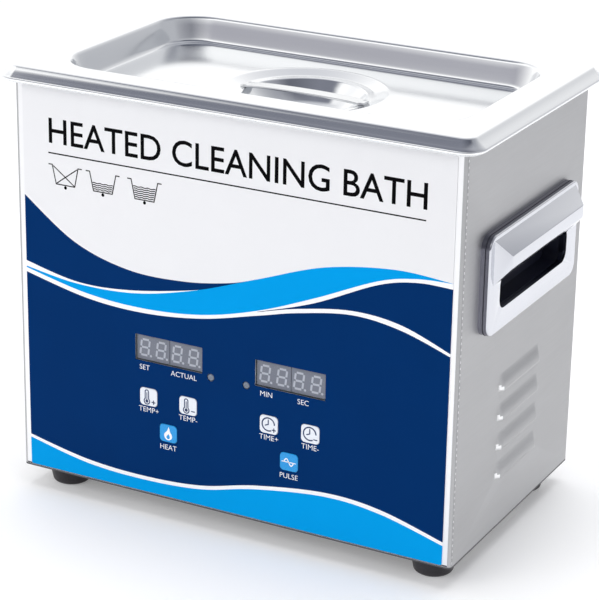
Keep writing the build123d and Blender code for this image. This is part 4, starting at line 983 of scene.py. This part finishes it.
def build_digits():
    """Two-digit display modules: grey blocks with unlit seven-segment figures."""
    bars = ((0, 1), (0, 0), (0, -1), (1, 0.5), (-1, 0.5), (1, -0.5), (-1, -0.5))
    for node in ("digits_temp", "digits_time"):
        low, high = box_mm(node)
        window_low, window_high = box_mm(node.replace("digits", "display_window"))
        face_y = window_low.y + FILTER_DEPTH
        middle = (window_low.x + window_high.x) / 2
        span = (window_high.x - window_low.x) / 2 - FILTER_GAP
        tall = window_high.z - window_low.z - 2 * FILTER_GAP
        points, faces = [], []
        for side in (-1, 1):
            outline = rounded_outline(middle + side * (span / 2 + 0.1),
                                      (window_low.z + window_high.z) / 2,
                                      span - 0.2, tall, 0.3, 3)
            append_part(points, faces, *loft([[(x, y, z) for x, z in outline]
                                              for y in (low.y - 0.01, face_y)],
                                             close_last=True))
        block = make_mesh(f"{node}_filters", points, faces, "module_grey", "cleaner", 40)
        ink = Artwork()
        z = (low.z + high.z) / 2
        width = (high.x - low.x) / 4
        for k in range(4):
            x = low.x + width * (k + 0.5) - 0.4
            for px, pz in bars:
                if px:
                    ends = [(px * FIGURE_W, (pz - 0.5) * FIGURE_H + 0.55),
                            (px * FIGURE_W, (pz + 0.5) * FIGURE_H - 0.55)]
                else:
                    ends = [(-FIGURE_W + 0.55, pz * FIGURE_H), (FIGURE_W - 0.55, pz * FIGURE_H)]
                ink.stroke([(x + u + v * FIGURE_LEAN, z + v) for u, v in ends], 1.15)
            ink.disc(x + FIGURE_W + 1.15, z - FIGURE_H, 0.7, 12)
        ink.build(f"{node}_figures", "segment_resin", "cleaner", face_y - PROUD, "digit_grey")


# ---------------------------------------------------------------- stage


FLOOR_HALF, FLOOR_GLOW, SKY_STRENGTH, LIT_POINT = 4.0, 0.2, 1.15, Vector((0, 0, 0.12))


def build_stage():
    """Floor, sky and soft lights."""
    floor = bpy.data.meshes.new("floor")
    floor.from_pydata([(-FLOOR_HALF, -FLOOR_HALF, 0), (FLOOR_HALF, -FLOOR_HALF, 0),
                       (FLOOR_HALF, FLOOR_HALF, 0), (-FLOOR_HALF, FLOOR_HALF, 0)], [],
                      [(0, 1, 2, 3)])
    paper = surface("floor_paper", (0.86, 0.86, 0.86), 0.7, tint=0.004, cloud=3.0,
                    grain=300, bump=0.02, gloss=0.1)
    glow = paper.node_tree.nodes["Principled BSDF"].inputs
    glow["Emission Color"].default_value = (1, 1, 1, 1)
    glow["Emission Strength"].default_value = FLOOR_GLOW
    floor.materials.append(paper)
    ground = bpy.data.objects.new("floor", floor)
    bpy.context.scene.collection.objects.link(ground)

    world = bpy.data.worlds.new("studio")
    bpy.context.scene.world = world
    world.use_nodes = True
    tree = world.node_tree
    place = add_node(tree, "ShaderNodeTexCoord").outputs["Generated"]
    parts = add_node(tree, "ShaderNodeSeparateXYZ", {"Vector": place})
    ramp = add_node(tree, "ShaderNodeValToRGB", {"Fac": remap(tree, parts.outputs["Z"], 0, 1,
                                                              (-1, 1))})
    stops = ramp.color_ramp.elements
    stops[0].position, stops[0].color = 0.0, (0.8, 0.8, 0.8, 1)
    stops[1].position, stops[1].color = 1.0, (0.2, 0.21, 0.25, 1)
    for position, tone in ((0.5, (0.92, 0.92, 0.92, 1)), (0.62, (1.0, 1.0, 1.0, 1)),
                           (0.885, (1.0, 1.0, 1.0, 1)), (0.915, (0.16, 0.17, 0.21, 1))):
        stop = stops.new(position)
        stop.color = tone
    lilac, white = (0.36, 0.36, 0.40, 1), (1, 1, 1, 1)
    rear = remap(tree, parts.outputs["Y"], 0, 1, (0.0, 0.3))
    behind = blend_color(tree, remap(tree, parts.outputs["Z"], 0, 1, (0.45, 0.85)), white,
                         (0.55, 0.56, 0.6, 1))
    sky = blend_color(tree, rear, ramp.outputs[0], behind)
    ahead = add_node(tree, "ShaderNodeMath",
                     {0: remap(tree, parts.outputs["Y"], 1, 0, (-0.75, 0.1)),
                      1: remap(tree, parts.outputs["Z"], 1, 0, (0.35, 0.62))},
                     operation="MULTIPLY").outputs[0]
    front = blend_color(tree, ahead, white, lilac)
    right = blend_color(tree, remap(tree, parts.outputs["X"], 0, 1, (-0.2, 0.6)), white,
                        (0.42, 0.43, 0.46, 1))
    for tint in (front, right):
        tinted = add_node(tree, "ShaderNodeMix", {"Factor": 1.0}, data_type="RGBA",
                          blend_type="MULTIPLY")
        tree.links.new(sky, tinted.inputs[6])
        tree.links.new(tint, tinted.inputs[7])
        sky = tinted.outputs[2]
    seen = add_node(tree, "ShaderNodeLightPath").outputs["Is Camera Ray"]
    final = blend_color(tree, seen, sky, white)
    tree.links.new(final, tree.nodes["Background"].inputs["Color"])
    tree.nodes["Background"].inputs["Strength"].default_value = SKY_STRENGTH

    for name, place, size, power in (("key", (-0.7, -1.5, 1.0), 1.1, 8),
                                     ("top", (0.1, 0.1, 1.7), 1.6, 16),
                                     ("side", (1.7, -0.2, 0.7), 1.2, 4),
                                     ("back", (-0.3, 1.9, 0.9), 1.6, 6)):
        lamp = bpy.data.lights.new(name, "AREA")
        lamp.shape, lamp.size, lamp.energy = "DISK", size, power
        holder = bpy.data.objects.new(name, lamp)
        holder.location = place
        aim = LIT_POINT - Vector(place)
        holder.rotation_euler = aim.to_track_quat("-Z", "Y").to_euler()
        holder.visible_glossy = False
        bpy.context.scene.collection.objects.link(holder)


CAMERA_AZIMUTH, CAMERA_RISE, CAMERA_ROLL = 27.74, 20.56, 1.0
CAMERA_PLACE, CAMERA_LENS, CAMERA_SENSOR = (0.5624, -1.0703, 0.5647), 139.51, 36.0


def build_camera():
    """The camera at the picture's viewing angle."""
    a, e, r = (math.radians(v) for v in (CAMERA_AZIMUTH, CAMERA_RISE, CAMERA_ROLL))
    back = Vector((math.sin(a) * math.cos(e), -math.cos(a) * math.cos(e), math.sin(e)))
    right = Vector((math.cos(a), math.sin(a), 0))
    up = back.cross(right)
    right, up = (math.cos(r) * right + math.sin(r) * up, math.cos(r) * up - math.sin(r) * right)
    data = bpy.data.cameras.new("camera")
    data.sensor_fit, data.sensor_width, data.lens = "HORIZONTAL", CAMERA_SENSOR, CAMERA_LENS
    data.clip_start, data.clip_end = 0.05, 30
    camera = bpy.data.objects.new("camera", data)
    turn = Matrix((right, up, back)).transposed().to_4x4()
    camera.matrix_world = Matrix.Translation(CAMERA_PLACE) @ turn
    bpy.context.scene.collection.objects.link(camera)
    bpy.context.scene.camera = camera


# ---------------------------------------------------------------- everything

for name, nodes in CAD_MATERIALS.items():
    for node in nodes.split():
        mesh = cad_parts[node].data
        mesh.materials.clear()
        mesh.materials.append(M[name])
        mesh.shade_smooth()
        mesh.set_sharp_from_angle(angle=math.radians(28))

build_lid()
build_strap()
build_housing()
build_fold_lines()
build_grips()
build_overlay()
build_title()
build_legends()
build_key_icons()
build_digits()
build_stage()
build_camera()
bpy.context.scene.view_settings.view_transform = "Standard"
